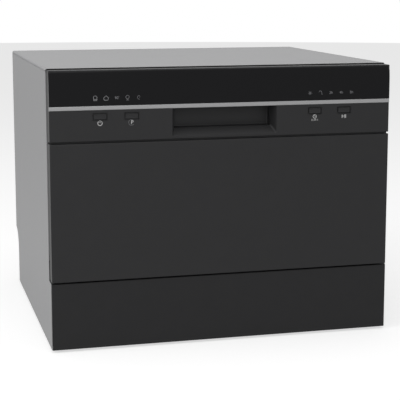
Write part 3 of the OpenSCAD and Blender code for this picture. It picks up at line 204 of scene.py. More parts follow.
def finish(name, colour, roughness, metal=0.0, specular=0.5, mottle=0.06, mottle_size=0.03,
           grain=0.0008, depth=0.00002, stretch=(1, 1, 1), rough_swing=0.06):
    """A Principled material with mottled colour, uneven gloss and a fine grain."""
    made = bpy.data.materials.new(name)
    made.use_nodes = True
    nodes, links = made.node_tree.nodes, made.node_tree.links
    shader = nodes["Principled BSDF"]
    shader.inputs["Metallic"].default_value = metal
    shader.inputs["Specular IOR Level"].default_value = specular
    place = nodes.new("ShaderNodeTexCoord")
    scaled = nodes.new("ShaderNodeMapping")
    scaled.name = "placing"
    scaled.inputs["Scale"].default_value = stretch
    links.new(place.outputs["Object"], scaled.inputs["Vector"])

    broad = nodes.new("ShaderNodeTexNoise")
    broad.inputs["Scale"].default_value = 1 / mottle_size
    broad.inputs["Detail"].default_value = 4
    links.new(scaled.outputs["Vector"], broad.inputs["Vector"])
    tint = nodes.new("ShaderNodeMix")
    tint.name = "tint"
    tint.data_type = "RGBA"
    tint.inputs["A"].default_value = (*[c * (1 - mottle) for c in colour], 1)
    tint.inputs["B"].default_value = (*[min(1, c * (1 + mottle)) for c in colour], 1)
    links.new(broad.outputs["Fac"], tint.inputs["Factor"])
    links.new(tint.outputs["Result"], shader.inputs["Base Color"])

    fine = nodes.new("ShaderNodeTexNoise")
    fine.name = "grain"
    fine.inputs["Scale"].default_value = 1 / grain
    fine.inputs["Detail"].default_value = 3
    links.new(scaled.outputs["Vector"], fine.inputs["Vector"])
    gloss = nodes.new("ShaderNodeMapRange")
    gloss.inputs["To Min"].default_value = roughness - rough_swing
    gloss.inputs["To Max"].default_value = roughness + rough_swing
    links.new(fine.outputs["Fac"], gloss.inputs["Value"])
    links.new(gloss.outputs["Result"], shader.inputs["Roughness"])
    bump = nodes.new("ShaderNodeBump")
    bump.name = "bump"
    bump.inputs["Distance"].default_value = depth
    bump.inputs["Strength"].default_value = 0.6
    links.new(fine.outputs["Fac"], bump.inputs["Height"])
    links.new(bump.outputs["Normal"], shader.inputs["Normal"])
    return made


silver_paint = finish("silver_paint", (0.252, 0.252, 0.257), 0.45, metal=0.2, specular=0.3,
                      mottle=0.03, mottle_size=0.004, grain=0.0012, depth=0.00003)
black_paint = finish("black_paint", (0.022, 0.022, 0.023), 0.5, specular=0.22, mottle=0.08,
                     mottle_size=0.02, grain=0.0007, depth=0.00003)
black_gloss = finish("black_gloss", (0.008, 0.008, 0.009), 0.16, specular=0.12, mottle=0.05,
                     mottle_size=0.05, grain=0.003, depth=0.000004, rough_swing=0.03)
trim_silver = finish("trim_silver", (0.36, 0.36, 0.365), 0.34, metal=0.35, mottle=0.03,
                     grain=0.0004, depth=0.00001, stretch=(0.05, 1, 1))
plinth_black = finish("plinth_black", (0.026, 0.026, 0.027), 0.55, specular=0.14, mottle=0.08,
                      mottle_size=0.02, grain=0.0007, depth=0.00003)
base_black = finish("base_black", (0.020, 0.020, 0.021), 0.6, specular=0.3, grain=0.0009,
                    depth=0.00005)
plastic_grey = finish("plastic_grey", (0.27, 0.29, 0.32), 0.45, mottle=0.04, grain=0.0006,
                      depth=0.00003)
plastic_white = finish("plastic_white", (0.74, 0.74, 0.70), 0.42, mottle=0.03, grain=0.0006,
                       depth=0.00003)
plastic_blue = finish("plastic_blue", (0.07, 0.15, 0.34), 0.4, mottle=0.05, grain=0.0006,
                      depth=0.00003)
rubber_grey = finish("rubber_grey", (0.040, 0.040, 0.043), 0.75, specular=0.25, mottle=0.12,
                     grain=0.0005, depth=0.00005)
rack_coating = finish("rack_coating", (0.33, 0.35, 0.38), 0.3, mottle=0.04, mottle_size=0.01,
                      grain=0.0015, depth=0.00004)
print("finishes so far:", len(bpy.data.materials))

# %% [markdown]
# Brushed steel is drawn through a belt, so its scratches run one way: the same grain, but
# stretched along that way. Zinc plating has patches of crystals instead, which is a Voronoi
# pattern. The tracks of the circuit boards are a brick pattern.

# %% Metals
stainless = finish("stainless", (0.55, 0.55, 0.54), 0.3, metal=1.0, mottle=0.04, mottle_size=0.1,
                   grain=0.0008, depth=0.00001, stretch=(0.03, 1, 1), rough_swing=0.08)
zinc = finish("zinc", (0.48, 0.49, 0.51), 0.34, metal=1.0, mottle=0.05, grain=0.0006,
              depth=0.00001)
zinc_nodes, zinc_links = zinc.node_tree.nodes, zinc.node_tree.links
crystals = zinc_nodes.new("ShaderNodeTexVoronoi")
crystals.inputs["Scale"].default_value = 220
zinc_links.new(zinc_nodes["placing"].outputs["Vector"], crystals.inputs["Vector"])
zinc_links.new(crystals.outputs["Distance"], zinc_nodes["tint"].inputs["Factor"])
screw_steel = finish("screw_steel", (0.42, 0.42, 0.43), 0.32, metal=1.0, mottle=0.1,
                     grain=0.0003, depth=0.00001)
print("finishes with the metals:", len(bpy.data.materials))

# %% Circuit board
board_green = finish("board_green", (0.012, 0.07, 0.028), 0.35, mottle=0.1, grain=0.0008)
board_nodes, board_links = board_green.node_tree.nodes, board_green.node_tree.links
tracks = board_nodes.new("ShaderNodeTexBrick")
tracks.inputs["Scale"].default_value = 120
tracks.inputs["Mortar Size"].default_value = 0.06
tracks.inputs["Color1"].default_value = (0.012, 0.07, 0.028, 1)
tracks.inputs["Color2"].default_value = (0.015, 0.085, 0.033, 1)
tracks.inputs["Mortar"].default_value = (0.03, 0.14, 0.06, 1)
board_turn = board_nodes.new("ShaderNodeMapping")
board_turn.inputs["Rotation"].default_value = (math.pi / 2, 0, 0)
board_links.new(board_nodes["placing"].outputs["Vector"], board_turn.inputs["Vector"])
board_links.new(board_turn.outputs["Vector"], tracks.inputs["Vector"])
board_links.new(tracks.outputs["Color"], board_nodes["Principled BSDF"].inputs["Base Color"])

# %% [markdown]
# ## Dressing the CAD nodes
#
# Where the CAD shape is right, only its finish changes. The list says which finish each node
# gets, in groups, as a parts list would.

# %% Finishes of the nodes
dressing = [
    (silver_paint, ["left_side_panel", "right_side_panel", "top_panel", "back_panel"]),
    (black_paint, ["door_panel", "control_panel"]),
    (black_gloss, ["control_fascia", "power_button", "programme_button", "delay_button",
                   "start_button"]),
    (trim_silver, ["trim_strip"]),
    (plinth_black, ["kick_plate"]),
    (base_black, ["base_tray", "foot_front_left", "foot_front_right", "foot_rear_left",
                  "foot_rear_right", "drain_pump", "drain_pipe", "drain_spigot", "cord_gland"]),
    (stainless, ["tub", "filter_plate", "door_liner"]),
    (zinc, ["rack_rails", "wash_impeller", "water_heater", "latch_striker", "hinge_bracket_left",
            "hinge_bracket_right", "hinge_arm_left", "hinge_arm_right", "door_spring_left",
            "door_spring_right"]),
    (rubber_grey, ["door_gasket"]),
    (plastic_grey, ["sump", "filter_cylinder", "spray_feed", "spray_arm", "wash_pump",
                    "float_switch", "door_lock", "dispenser", "wheel_holders", "front_wheels",
                    "rear_wheels", "cup_shelf", "cutlery_basket"]),
    (plastic_white, ["salt_container", "inlet_valve", "air_break", "leak_float", "detergent_lid",
                     "drain_impeller"]),
    (plastic_blue, ["salt_cap", "rinse_cap"]),
    (rack_coating, ["wire_rack", "shelf_wire"]),
    (board_green, ["control_board"]),
]
for material, names in dressing:
    for name in names:
        mesh = frame["nodes"][name].data
        mesh.materials.clear()
        mesh.materials.append(material)
plain = sorted(set(frame["nodes"]) - {n for _, names in dressing for n in names})
print("nodes without a finish:", plain)

# %% [markdown]
# ## Hand tools
#
# New pieces are modelled as by hand: add a primitive, shape it in edit mode, then apply
# modifiers. A few short tools keep that readable. Each one first deselects everything,
# because operators act on all that is selected. `settle` bakes place and scale into the
# mesh, so that every finished object sits at the origin as the CAD nodes do.

# %% Select, settle, block


def select_only(piece):
    """Makes one object the only selected and the active one."""
    bpy.ops.object.select_all(action="DESELECT")
    piece.select_set(True)
    bpy.context.view_layer.objects.active = piece


def settle(piece):
    """Bakes the object's place, turn and scale into its mesh."""
    select_only(piece)
    bpy.ops.object.transform_apply(location=True, rotation=True, scale=True)


def block(name, low, high):
    """A box between two corners given in millimetres."""
    low, high = Vector(low) * MM, Vector(high) * MM
    bpy.ops.object.select_all(action="DESELECT")
    bpy.ops.mesh.primitive_cube_add(size=1, location=(low + high) / 2)
    piece = bpy.context.object
    piece.name = name
    piece.scale = high - low
    settle(piece)
    return piece


def rod(name, centre, radius, length, axis, sides=32):
    """A cylinder in millimetres whose length runs along the axis x, y or z."""
    turn = {"x": (0, math.pi / 2, 0), "y": (math.pi / 2, 0, 0), "z": (0, 0, 0)}[axis]
    bpy.ops.object.select_all(action="DESELECT")
    bpy.ops.mesh.primitive_cylinder_add(vertices=sides, radius=radius * MM, depth=length * MM,
                                        location=Vector(centre) * MM, rotation=turn)
    piece = bpy.context.object
    piece.name = name
    settle(piece)
    return piece


# %% Pick and bevel


def pick(piece, kind, wanted):
    """Enters edit mode and selects the faces, edges or verts that are wanted.

    The test wanted(middle, span) gets the item's middle and the way across it, in mm.
    """
    select_only(piece)
    bpy.ops.object.mode_set(mode="EDIT")
    bpy.ops.mesh.select_mode(type={"faces": "FACE", "edges": "EDGE", "verts": "VERT"}[kind])
    bpy.ops.mesh.select_all(action="DESELECT")
    edited = bmesh.from_edit_mesh(piece.data)
    count = 0
    for item in getattr(edited, kind):
        points = [item.co] if kind == "verts" else [v.co for v in item.verts]
        middle_point = sum(points, Vector()) / len(points) / MM
        span = (points[-1] - points[0]) / MM
        if wanted(middle_point, span):
            item.select = True
            count += 1
    edited.select_flush_mode()
    bmesh.update_edit_mesh(piece.data)
    return count


def round_edges(piece, radius, wanted, segments=5):
    """Bevels the edges for which wanted(middle, span) is true. Radius in mm."""
    count = pick(piece, "edges", wanted)
    if count:
        bpy.ops.mesh.bevel(offset=radius * MM, segments=segments, affect="EDGES",
                           clamp_overlap=True)
    bpy.ops.object.mode_set(mode="OBJECT")


def apply_modifier(piece, kind, **settings):
    """Adds a modifier, sets it up and applies it."""
    select_only(piece)
    modifier = piece.modifiers.new(kind.lower(), kind)
    for key, value in settings.items():
        setattr(modifier, key, value)
    bpy.ops.object.modifier_apply(modifier=modifier.name)


def combine(piece, other, how):
    """Joins, cuts or keeps the common part of two closed pieces. The other one is used up."""
    apply_modifier(piece, "BOOLEAN", operation=how, object=other, solver="EXACT")
    bpy.data.objects.remove(other)


TINY = 0.0005  # mm; a face or an edge smaller than this is a leftover
SHARP = 35  # degrees; flatter edges are shaded smooth and get no bevel


def dress(piece, material, slot, body, *nodes):
    """Gives a piece its finish, smooth shading and body, and the CAD nodes it stands for.

    A bevel or a cut can leave faces without area, so those go first. Weighted normals keep the
    large faces flat, so that only the rounded edges shade softly.
    """
    piece.data.materials.clear()
    piece.data.materials.append(material)
    select_only(piece)
    bpy.ops.object.mode_set(mode="EDIT")
    bpy.ops.mesh.select_all(action="SELECT")
    bpy.ops.mesh.dissolve_degenerate(threshold=TINY * MM)
    bpy.ops.object.mode_set(mode="OBJECT")
    bpy.ops.object.shade_smooth_by_angle(angle=math.radians(SHARP))
    apply_modifier(piece, "WEIGHTED_NORMAL", keep_sharp=True)
    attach(piece, body)
    if nodes:
        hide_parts(*nodes)
    print(f"{piece.name}: {len(piece.data.polygons)} faces")


# %% Main sizes of the door, read from the frame
def box_mm(node):
    """The two corners of a CAD node in millimetres."""
    low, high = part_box(node)
    return low / MM, high / MM


panel_low, panel_high = box_mm("control_panel")
strip_low, strip_high = box_mm("trim_strip")
fascia_low, fascia_high = box_mm("control_fascia")
FACE = panel_low.y + 0.05  # a touch behind the CAD face, to stay inside its box
print("door face at", FACE, "strip from", strip_low.z, "to", strip_high.z)

# %% [markdown]
# ## Control panel
#
# On the real door this is one black moulding. It has the handle recess in the middle, a hidden
# grip behind the silver line, four button windows in shallow frames, and softly rounded front
# edges. It could be a flat panel with painted shadows, but the recess needs real depth. So a
# solid block is rounded, hollowed from behind, given a second shell for the recess, and then
# cut from the front.

# %% The recess as a cutting shape
# Half widths, floors and depths of the mouth and of the pocket behind it, in mm. The grip is
# hollow for GRIP_RISE above the line's lower edge, behind a lip that is LIP thick.
RECESS_HALF, RECESS_FLOOR = 84.5, strip_low.z - 44.5
POCKET_HALF, POCKET_FLOOR = 78, RECESS_FLOOR + 12.5
MOUTH_DEPTH, POCKET_DEPTH = 13, 28.5
GRIP_RISE, LIP = 10, 6


def recess_form(name, grow):
    """The recess as a solid: a mouth with sloping floor and sides, and a pocket behind it."""
    roof = strip_low.z + GRIP_RISE + grow
    form = block(name, (-RECESS_HALF - grow, FACE - 1, RECESS_FLOOR - grow),
                 (RECESS_HALF + grow, FACE + MOUTH_DEPTH, roof))
    pick(form, "verts", lambda c, s: c.y > FACE + 1)
    narrower = (POCKET_HALF + grow) / (RECESS_HALF + grow)
    bpy.ops.transform.resize(value=(narrower, 1, 1), center_override=(0, 0, 0))
    bpy.ops.object.mode_set(mode="OBJECT")
    pick(form, "verts", lambda c, s: c.y > FACE + 1 and c.z < strip_low.z - 20)
    bpy.ops.transform.translate(value=(0, 0, (POCKET_FLOOR - RECESS_FLOOR) * MM))
    bpy.ops.object.mode_set(mode="OBJECT")
    round_edges(form, 2.5, lambda c, s: (abs(c.x) > POCKET_HALF and abs(s.y) > 10
                                         and c.z < strip_low.z - 20))
    pocket = block("pocket", (-POCKET_HALF - grow, FACE + MOUTH_DEPTH - 0.5, POCKET_FLOOR - grow),
                   (POCKET_HALF + grow, FACE + POCKET_DEPTH + grow, roof))
    round_edges(pocket, 2, lambda c, s: c.y > FACE + POCKET_DEPTH - 1)
    combine(form, pocket, "UNION")
    lip = block("lip", (-200, FACE - 6, strip_low.z + grow),
                (200, FACE + LIP - grow, strip_low.z + 40))
    combine(form, lip, "DIFFERENCE")
    return form


# %% The moulding
WIDE, TALL = 300, 500  # past the door's sides and top: where a cutting block may end
control = block("control_moulding", (panel_low.x, FACE, panel_low.z), panel_high)
round_edges(control, 1.4, lambda c, s: c.y < FACE + 1 and (c.z < panel_low.z + 1 or abs(s.z) > 50))
round_edges(control, 4, lambda c, s: c.z > panel_high.z - 1 and abs(c.x) > 270, 6)
step = block("step", (-WIDE, FACE - 5, strip_low.z), (WIDE, strip_high.y, TALL))
combine(control, step, "DIFFERENCE")
wall = 2.2
combine(control, block("hollow", (panel_low.x + wall, strip_high.y + wall, panel_low.z + wall),
                       (panel_high.x - wall, panel_high.y + 5, panel_high.z - wall)), "DIFFERENCE")
combine(control, recess_form("recess_shell", 1.5), "UNION")
in_front = block("in_front", (-WIDE, FACE - 9, 300), (WIDE, FACE, strip_low.z + 0.1))
combine(control, in_front, "DIFFERENCE")
over_step = block("over_step", (-WIDE, FACE - 9, strip_low.z), (WIDE, strip_high.y, TALL))
combine(control, over_step, "DIFFERENCE")
combine(control, recess_form("recess", 0), "DIFFERENCE")
# A tongue behind the gap under the moulding, so that no light falls through it
tongue = block("tongue", (-272, FACE + 5, panel_low.z - 2.8), (272, FACE + 7, panel_low.z + 1))
combine(control, tongue, "UNION")
print("recess", 2 * RECESS_HALF, "mm wide, floor at", round(RECESS_FLOOR, 1))

# %% Button windows and their frames
# Each key moves in a hole through the wall. A shallow frame runs round the hole's rim.
button_nodes = ["power_button", "programme_button", "delay_button", "start_button"]
HOLE, RIM = (-0.7, 6), (0.3, 0.5)  # how much wider than the key's collar, and how deep
for node in button_nodes:
    low, high = box_mm(node)
    for grow, depth in (HOLE, RIM):
        window = block("window", (low.x - grow, FACE - 2, low.z - grow),
                       (high.x + grow, FACE + depth, high.z + grow))
        round_edges(window, 1.4, lambda c, s: abs(s.y) > 2, 4)
        combine(control, window, "DIFFERENCE")
dress(control, black_paint, "black_paint", "door", "control_panel")

# %% [markdown]
# ## Buttons
#
# The four buttons are small black keys with a soft rim and a slightly hollow face, so that a
# finger finds them. One key is shaped from a block: its face is inset and pushed in, then its
# edges are rounded. Behind it are the collar that keeps it in and the stem to its switch.

# %% Four keys
# Behind the face, the key ends at 2.5 mm and the collar at 3.85 mm. The collar is as wide as the
# node and stands out round the key by COLLAR.
COLLAR = 2.4
for node in button_nodes:
    low, high = box_mm(node)
    key = block("key_" + node, (low.x + COLLAR, FACE + 0.1, low.z + COLLAR),
                (high.x - COLLAR, FACE + 2.5, high.z - COLLAR))
    round_edges(key, 1.1, lambda c, s: abs(s.y) > 1, 4)
    pick(key, "faces", lambda c, s: c.y < FACE + 0.2)
    bpy.ops.mesh.inset(thickness=1.2 * MM)
    bpy.ops.transform.translate(value=(0, 0.3 * MM, 0))
    bpy.ops.object.mode_set(mode="OBJECT")
    round_edges(key, 0.3, lambda c, s: c.y < FACE + 0.2, 3)
    collar = block("collar", (low.x, FACE + 2.45, low.z), (high.x, FACE + 3.85, high.z))
    combine(key, collar, "UNION")
    middle_x, middle_z = (low.x + high.x) / 2, (low.z + high.z) / 2
    stem = rod("stem", (middle_x, (FACE + 3.8 + high.y) / 2, middle_z), 2.5,
               high.y - FACE - 3.8, "y", 24)
    combine(key, stem, "UNION")
    dress(key, black_paint, "black_gloss", node, node)

# %% [markdown]
# ## Gloss strip and silver line
#
# The upper part of the door is a gloss black strip that wraps over the top edge. Under it runs
# a thin silver line. Both are plain bars with rounded edges, but the radius matters: it is
# what draws the fine light line along the top of the door in the photograph.

# %% Gloss strip
gloss = block("gloss_strip", (fascia_low.x, FACE, fascia_low.z),
              (fascia_high.x, panel_high.y, fascia_high.z))
round_edges(gloss, 4, lambda c, s: abs(s.y) > 5 and c.z > fascia_high.z - 1, 6)
round_edges(gloss, 3, lambda c, s: c.y < FACE + 1 and c.z > fascia_high.z - 5, 6)
round_edges(gloss, 2, lambda c, s: c.y < FACE + 1 and abs(s.z) > 40)
round_edges(gloss, 0.4, lambda c, s: c.y < FACE + 1 and c.z < fascia_low.z + 1, 3)
behind = block("behind", (-WIDE, strip_high.y, 300), (WIDE, -200, TALL))
combine(gloss, behind, "DIFFERENCE")
dress(gloss, black_gloss, "black_gloss", "door", "control_fascia")

# %% Silver line
line = block("silver_line", (strip_low.x, FACE, strip_low.z),
             (strip_high.x, strip_high.y, strip_high.z - 0.1))
round_edges(line, 0.9, lambda c, s: c.y < FACE + 0.1 and abs(s.x) > 100, 4)
round_edges(line, 0.9, lambda c, s: c.y < FACE + 0.1 and abs(s.z) > 3, 4)
dress(line, trim_silver, "trim_silver", "door", "trim_strip")

# %% [markdown]
# ## Printed symbols
#
# The symbols are screen-printed, 0.04 mm thick. Each one is put together from strokes: straight
# bars, arcs spun from a small quad, and a few plain numbers and letters made from Blender's own
# font.

# %% Ink
INK = 0.04  # mm, the height of the print on the door's face


def ink(name, colour):
    """A flat printing ink."""
    return finish(name, colour, 0.5, mottle=0.05, grain=0.0003, depth=0.000003)


ink_white = ink("ink_white", (0.62, 0.62, 0.62))
ink_pale = ink("ink_pale", (0.36, 0.36, 0.37))
ink_grey = ink("ink_grey", (0.20, 0.20, 0.21))

# %% Strokes


def bar(x0, z0, x1, z1, width=0.6):
    """A straight stroke between two points on the door's face, in mm."""
    length = math.hypot(x1 - x0, z1 - z0)
    stroke = block("stroke", (-length / 2 - width / 2, FACE - INK, -width / 2),
                   (length / 2 + width / 2, FACE + INK, width / 2))
    stroke.rotation_euler.y = -math.atan2(z1 - z0, x1 - x0)
    stroke.location = Vector(((x0 + x1) / 2, 0, (z0 + z1) / 2)) * MM
    settle(stroke)
    return stroke


def arc(x, z, radius, start, sweep, width=0.6):
    """A round stroke about a point, from an angle and over a sweep in degrees, by spin."""
    bpy.ops.object.select_all(action="DESELECT")
    bpy.ops.mesh.primitive_plane_add(size=1, location=Vector((x + radius, FACE, z)) * MM)
    stroke = bpy.context.object
    stroke.scale = (width * MM, 2 * INK * MM, 1)
    settle(stroke)
    bpy.ops.object.mode_set(mode="EDIT")
    bpy.ops.mesh.select_all(action="SELECT")
    centre = Vector((x, FACE, z)) * MM
    steps = max(6, round(abs(sweep) / 12))
    bpy.ops.mesh.spin(steps=steps, angle=math.radians(sweep), center=centre, axis=(0, 1, 0))
    bpy.ops.mesh.select_all(action="SELECT")
    if abs(sweep) >= 360:
        bpy.ops.mesh.remove_doubles(threshold=0.01 * MM)
        bpy.ops.mesh.select_all(action="DESELECT")
        bpy.ops.mesh.select_interior_faces()
        bpy.ops.mesh.delete(type="FACE")
        bpy.ops.mesh.select_all(action="SELECT")
    bpy.ops.mesh.normals_make_consistent(inside=False)
    bpy.ops.object.mode_set(mode="OBJECT")
    turn = Matrix.Rotation(-math.radians(start), 4, "Y")
    stroke.data.transform(Matrix.Translation(centre) @ turn @ Matrix.Translation(-centre))
    return stroke


CAPITAL = 0.7  # a capital's height as a share of the font's size


def letters(words, x, z, height):
    """Plain numbers or letters, centred on a point of the door's face, as a closed mesh."""
    bpy.ops.object.select_all(action="DESELECT")
    bpy.ops.object.text_add(location=Vector((x, FACE, z)) * MM, rotation=(math.pi / 2, 0, 0))
    text = bpy.context.object
    text.data.body = words
    text.data.size = height * MM / CAPITAL
    text.data.align_x, text.data.align_y = "CENTER", "CENTER"
    text.data.extrude = INK * MM
    text.data.resolution_u = 3
    bpy.ops.object.convert(target="MESH")
    made = bpy.context.object
    settle(made)
    bpy.ops.object.mode_set(mode="EDIT")
    bpy.ops.mesh.select_all(action="SELECT")
    bpy.ops.mesh.remove_doubles(threshold=TINY * MM)
    bpy.ops.mesh.normals_make_consistent(inside=False)
    bpy.ops.object.mode_set(mode="OBJECT")
    return made


def outline(points, width=0.6):
    """Straight strokes from point to point, closed."""
    return [bar(*a, *b, width) for a, b in zip(points, points[1:] + points[:1])]


def symbol(name, strokes, print_ink):
    """Joins the strokes of one symbol and lets it ride on the door."""
    bpy.ops.object.select_all(action="DESELECT")
    for stroke in strokes:
        stroke.select_set(True)
    bpy.context.view_layer.objects.active = strokes[0]
    if len(strokes) > 1:
        bpy.ops.object.join()
    made = bpy.context.object
    made.name = name
    dress(made, print_ink, "black_gloss", "door")


# %% Symbols under the buttons
# From left to right: power, programme, delayed start with its hours, and start or pause
under = strip_low.z - 20
power_x, programme_x, delay_x, start_x = [(box_mm(n)[0].x + box_mm(n)[1].x) / 2
                                          for n in button_nodes]
symbol("print_power", [arc(power_x, under, 3.4, 125, 290, 0.9),
                       bar(power_x, under + 1, power_x, under + 4, 0.9)], ink_white)
symbol("print_programme", [letters("P", programme_x + 0.5, under, 5.6)], ink_white)
symbol("print_programme_ring", [arc(programme_x - 0.5, under, 4.4, 30, 290, 0.5)], ink_grey)
clock_z = under + 0.8
symbol("print_delay", [arc(delay_x, clock_z, 2.8, 0, 360, 0.8),
                       bar(delay_x, clock_z, delay_x, under + 2.4),
                       bar(delay_x, clock_z, delay_x + 1.3, clock_z),
                       letters("0-24 h", delay_x, under - 4.6, 3.0)], ink_white)
triangle = [(start_x - 3.2, under - 2.4), (start_x - 3.2, under + 2.4), (start_x - 0.2, under)]
symbol("print_start", outline(triangle, 0.8) + [
    bar(start_x - 2.6, under, start_x - 1.6, under, 1.6),
    bar(start_x + 1.4, under - 2.2, start_x + 1.4, under + 2.2, 1.0),
    bar(start_x + 3.2, under - 2.2, start_x + 3.2, under + 2.2, 1.0)], ink_white)

# %% Status symbols above the line
# Five to the left of the middle, two and three plain hours to the right
above = strip_high.z + 11.5
pots_x, plates_x, minutes_x, glass_x, quick_x = -203.4, -186.8, -170.2, -153.8, -135.7
rinse_x, salt_x = 139.1, 157.2
hours_x = {"2h": 174.3, "4h": 191.6, "8h": 208.9}


def at(x, points):
    """Points of a symbol moved to its place on the row."""
    return [(x + px, above + pz) for px, pz in points]


pot = at(pots_x, [(-2.6, -3.4), (2.6, -3.4), (2.6, 2.2), (1.2, 3.6), (-1.2, 3.6), (-2.6, 2.2)])
symbol("print_pots", outline(pot) + [bar(pots_x - 2.4, above - 1.6, pots_x + 2.4, above - 1.6)],
       ink_pale)
plate = at(plates_x, [(-2.8, -3.2), (2.8, -3.2), (3.8, 0.6), (0, 3.6), (-3.8, 0.6)])
symbol("print_plates", outline(plate), ink_pale)
symbol("print_minutes", [letters("90'", minutes_x, above, 4.2)], ink_grey)
symbol("print_glass", [arc(glass_x, above + 1, 2.6, 0, 360),
                       bar(glass_x, above - 1.6, glass_x, above - 3.4),
                       bar(glass_x - 2, above - 3.5, glass_x + 2, above - 3.5)], ink_grey)
symbol("print_quick", [arc(quick_x, above, 2.6, 60, 220, 0.5),
                       bar(quick_x, above, quick_x + 1.4, above + 1.2, 0.5)], ink_grey)
star = [bar(rinse_x - 3 * math.cos(a), above - 3 * math.sin(a), rinse_x + 3 * math.cos(a),
            above + 3 * math.sin(a), 0.5) for a in (0, math.pi / 3, 2 * math.pi / 3)]
symbol("print_rinse", star, ink_grey)
symbol("print_salt", [arc(salt_x - 1, above + 1, 2.2, -20, 200, 0.6),
                      bar(salt_x + 1.1, above + 1, salt_x + 2, above - 2.6)], ink_grey)
for hours, place in hours_x.items():
    symbol("print_" + hours, [letters(hours, place, above, 4.2)], ink_grey)

# %% [markdown]
# ## Lower door panel
#
# A sheet of steel, folded back on all four sides. A plain box would show razor edges, so the
# folds get the radius that a press brake leaves, and the sheet its real thickness.

# %% Lower door panel
door_low, door_high = box_mm("door_panel")
sheet = block("door_sheet", door_low, door_high)
round_edges(sheet, 1.4, lambda c, s: c.y < door_low.y + 1, 6)
combine(sheet, block("hollow", (door_low.x + 1, door_low.y + 1, door_low.z + 1),
                     (door_high.x - 1, door_high.y + 5, door_high.z - 1)), "DIFFERENCE")
# The hinge arms pass through a notch at either end of the lower fold, and through the liner
arm_gaps = [sorted((side * 236, side * 260)) for side in (-1, 1)]
for start, end in arm_gaps:
    notch = block("notch", (start, door_low.y + 1, door_low.z - 5), (end, -200, door_low.z + 3))
    combine(sheet, notch, "DIFFERENCE")
dress(sheet, black_paint, "black_paint", "door", "door_panel")

# %% [markdown]
# ## Door liner
#
# Behind the door skin sits the pressed stainless liner, the surface you see when the door is
# down. A press can only make soft steps, so it is modelled the same way: a rounded block, a
# rounded hollow pressed into it, two shallow ribs, and then the block becomes a sheet: its
# front is opened and a Solidify modifier gives it one millimetre of steel.

# %% Pressed liner
LINER_HALF, LINER_BOTTOM, LINER_TOP = 266, 113, 431
liner_low, liner_high = box_mm("door_liner")
liner = block("pressed_liner", (-LINER_HALF, liner_low.y, LINER_BOTTOM),
              (LINER_HALF, liner_high.y, LINER_TOP))
round_edges(liner, 8, lambda c, s: abs(s.y) > 5)
round_edges(liner, 3, lambda c, s: c.y > liner_high.y - 1, 4)
dish = block("dish", (-222, liner_high.y - 6, 168), (222, liner_high.y + 5, 411))
round_edges(dish, 15, lambda c, s: abs(s.y) > 5, 6)
round_edges(dish, 4, lambda c, s: c.y < liner_high.y - 5, 4)
combine(liner, dish, "DIFFERENCE")
for rib_z in (188, 390):
    rib = block("rib", (-190, liner_high.y - 8, rib_z - 5), (190, liner_high.y + 5, rib_z + 5))
    round_edges(rib, 4.9, lambda c, s: abs(s.y) > 5, 5)
    round_edges(rib, 1.4, lambda c, s: c.y < liner_high.y - 7, 3)
    combine(liner, rib, "DIFFERENCE")
pick(liner, "faces", lambda c, s: c.y < liner_low.y + 0.1)
bpy.ops.mesh.delete(type="FACE")
bpy.ops.object.mode_set(mode="OBJECT")
apply_modifier(liner, "SOLIDIFY", thickness=1 * MM, offset=-1)
print("liner stands", round(liner_high.y - liner_low.y, 1), "mm behind the door skin")

# %% Openings of the liner
# One for the latch, one for the dispenser, whose rim covers its edge, and two for the arms
dispenser_low, dispenser_high = box_mm("dispenser")
RIM_COVER = 5.7
cuts = [((-18, -230, 425.5), (18, -200, 434)),
        ((dispenser_low.x + RIM_COVER, -240, dispenser_low.z + RIM_COVER),
         (dispenser_high.x - RIM_COVER, -200, dispenser_high.z - RIM_COVER))]
cuts += [((start, -240, 100), (end, -200, 135.5)) for start, end in arm_gaps]
for low, high in cuts:
    combine(liner, block("opening", low, high), "DIFFERENCE")
frame_sheet = block("liner_frame", liner_low, (liner_high.x, liner_low.y + 1, liner_high.z))
combine(frame_sheet, block("inside", (1 - LINER_HALF, -240, LINER_BOTTOM + 1),
                           (LINER_HALF - 1, -200, LINER_TOP - 1)), "DIFFERENCE")
for low, high in cuts:
    combine(frame_sheet, block("opening", low, high), "DIFFERENCE")
combine(liner, frame_sheet, "UNION")
dress(liner, stainless, "stainless", "door", "door_liner")

# %% [markdown]
# ## Soft edges
#
# CAD leaves every edge sharp, and a sharp edge never catches the light. Real sheets and
# mouldings have a small radius. So a copy of the node has its loose triangles merged into flat
# faces, and a Bevel modifier rounds the edges that are sharper than an angle. The copy then
# stands for the node. Where parts are joined to the copy later, Bevel has to stay within the
# room that the edges leave, or its faces may run through each other and spoil the joining.

# %% Soften
owners = frame["record"]["behaviour"]["bodies"].items()
body_of = {node: body for body, nodes in owners for node in nodes}
WELD = 0.002  # mm; corners of loose triangles that lie closer are one corner
FLAT = 0.5  # degrees; faces that meet at less are one face


def soften(node, radius, clamp=True):
    """A copy of a CAD node with rounded edges, not dressed yet. Radius in mm."""
    piece = bpy.data.objects.new("soft_" + node, frame["nodes"][node].data.copy())
    bpy.context.scene.collection.objects.link(piece)
    select_only(piece)
    bpy.ops.object.mode_set(mode="EDIT")
    bpy.ops.mesh.select_all(action="SELECT")
    bpy.ops.mesh.remove_doubles(threshold=WELD * MM)
    bpy.ops.mesh.dissolve_limited(angle_limit=math.radians(FLAT))
    bpy.ops.object.mode_set(mode="OBJECT")
    apply_modifier(piece, "BEVEL", width=radius * MM, segments=2, limit_method="ANGLE",
                   angle_limit=math.radians(SHARP), use_clamp_overlap=clamp)
    return piece


def dress_as(piece, node):
    """Dresses a piece as the CAD node that it stands for."""
    material = frame["nodes"][node].data.materials[0]
    slot = material.name.split(".")[0]
    dress(piece, material, slot, body_of[node], node)


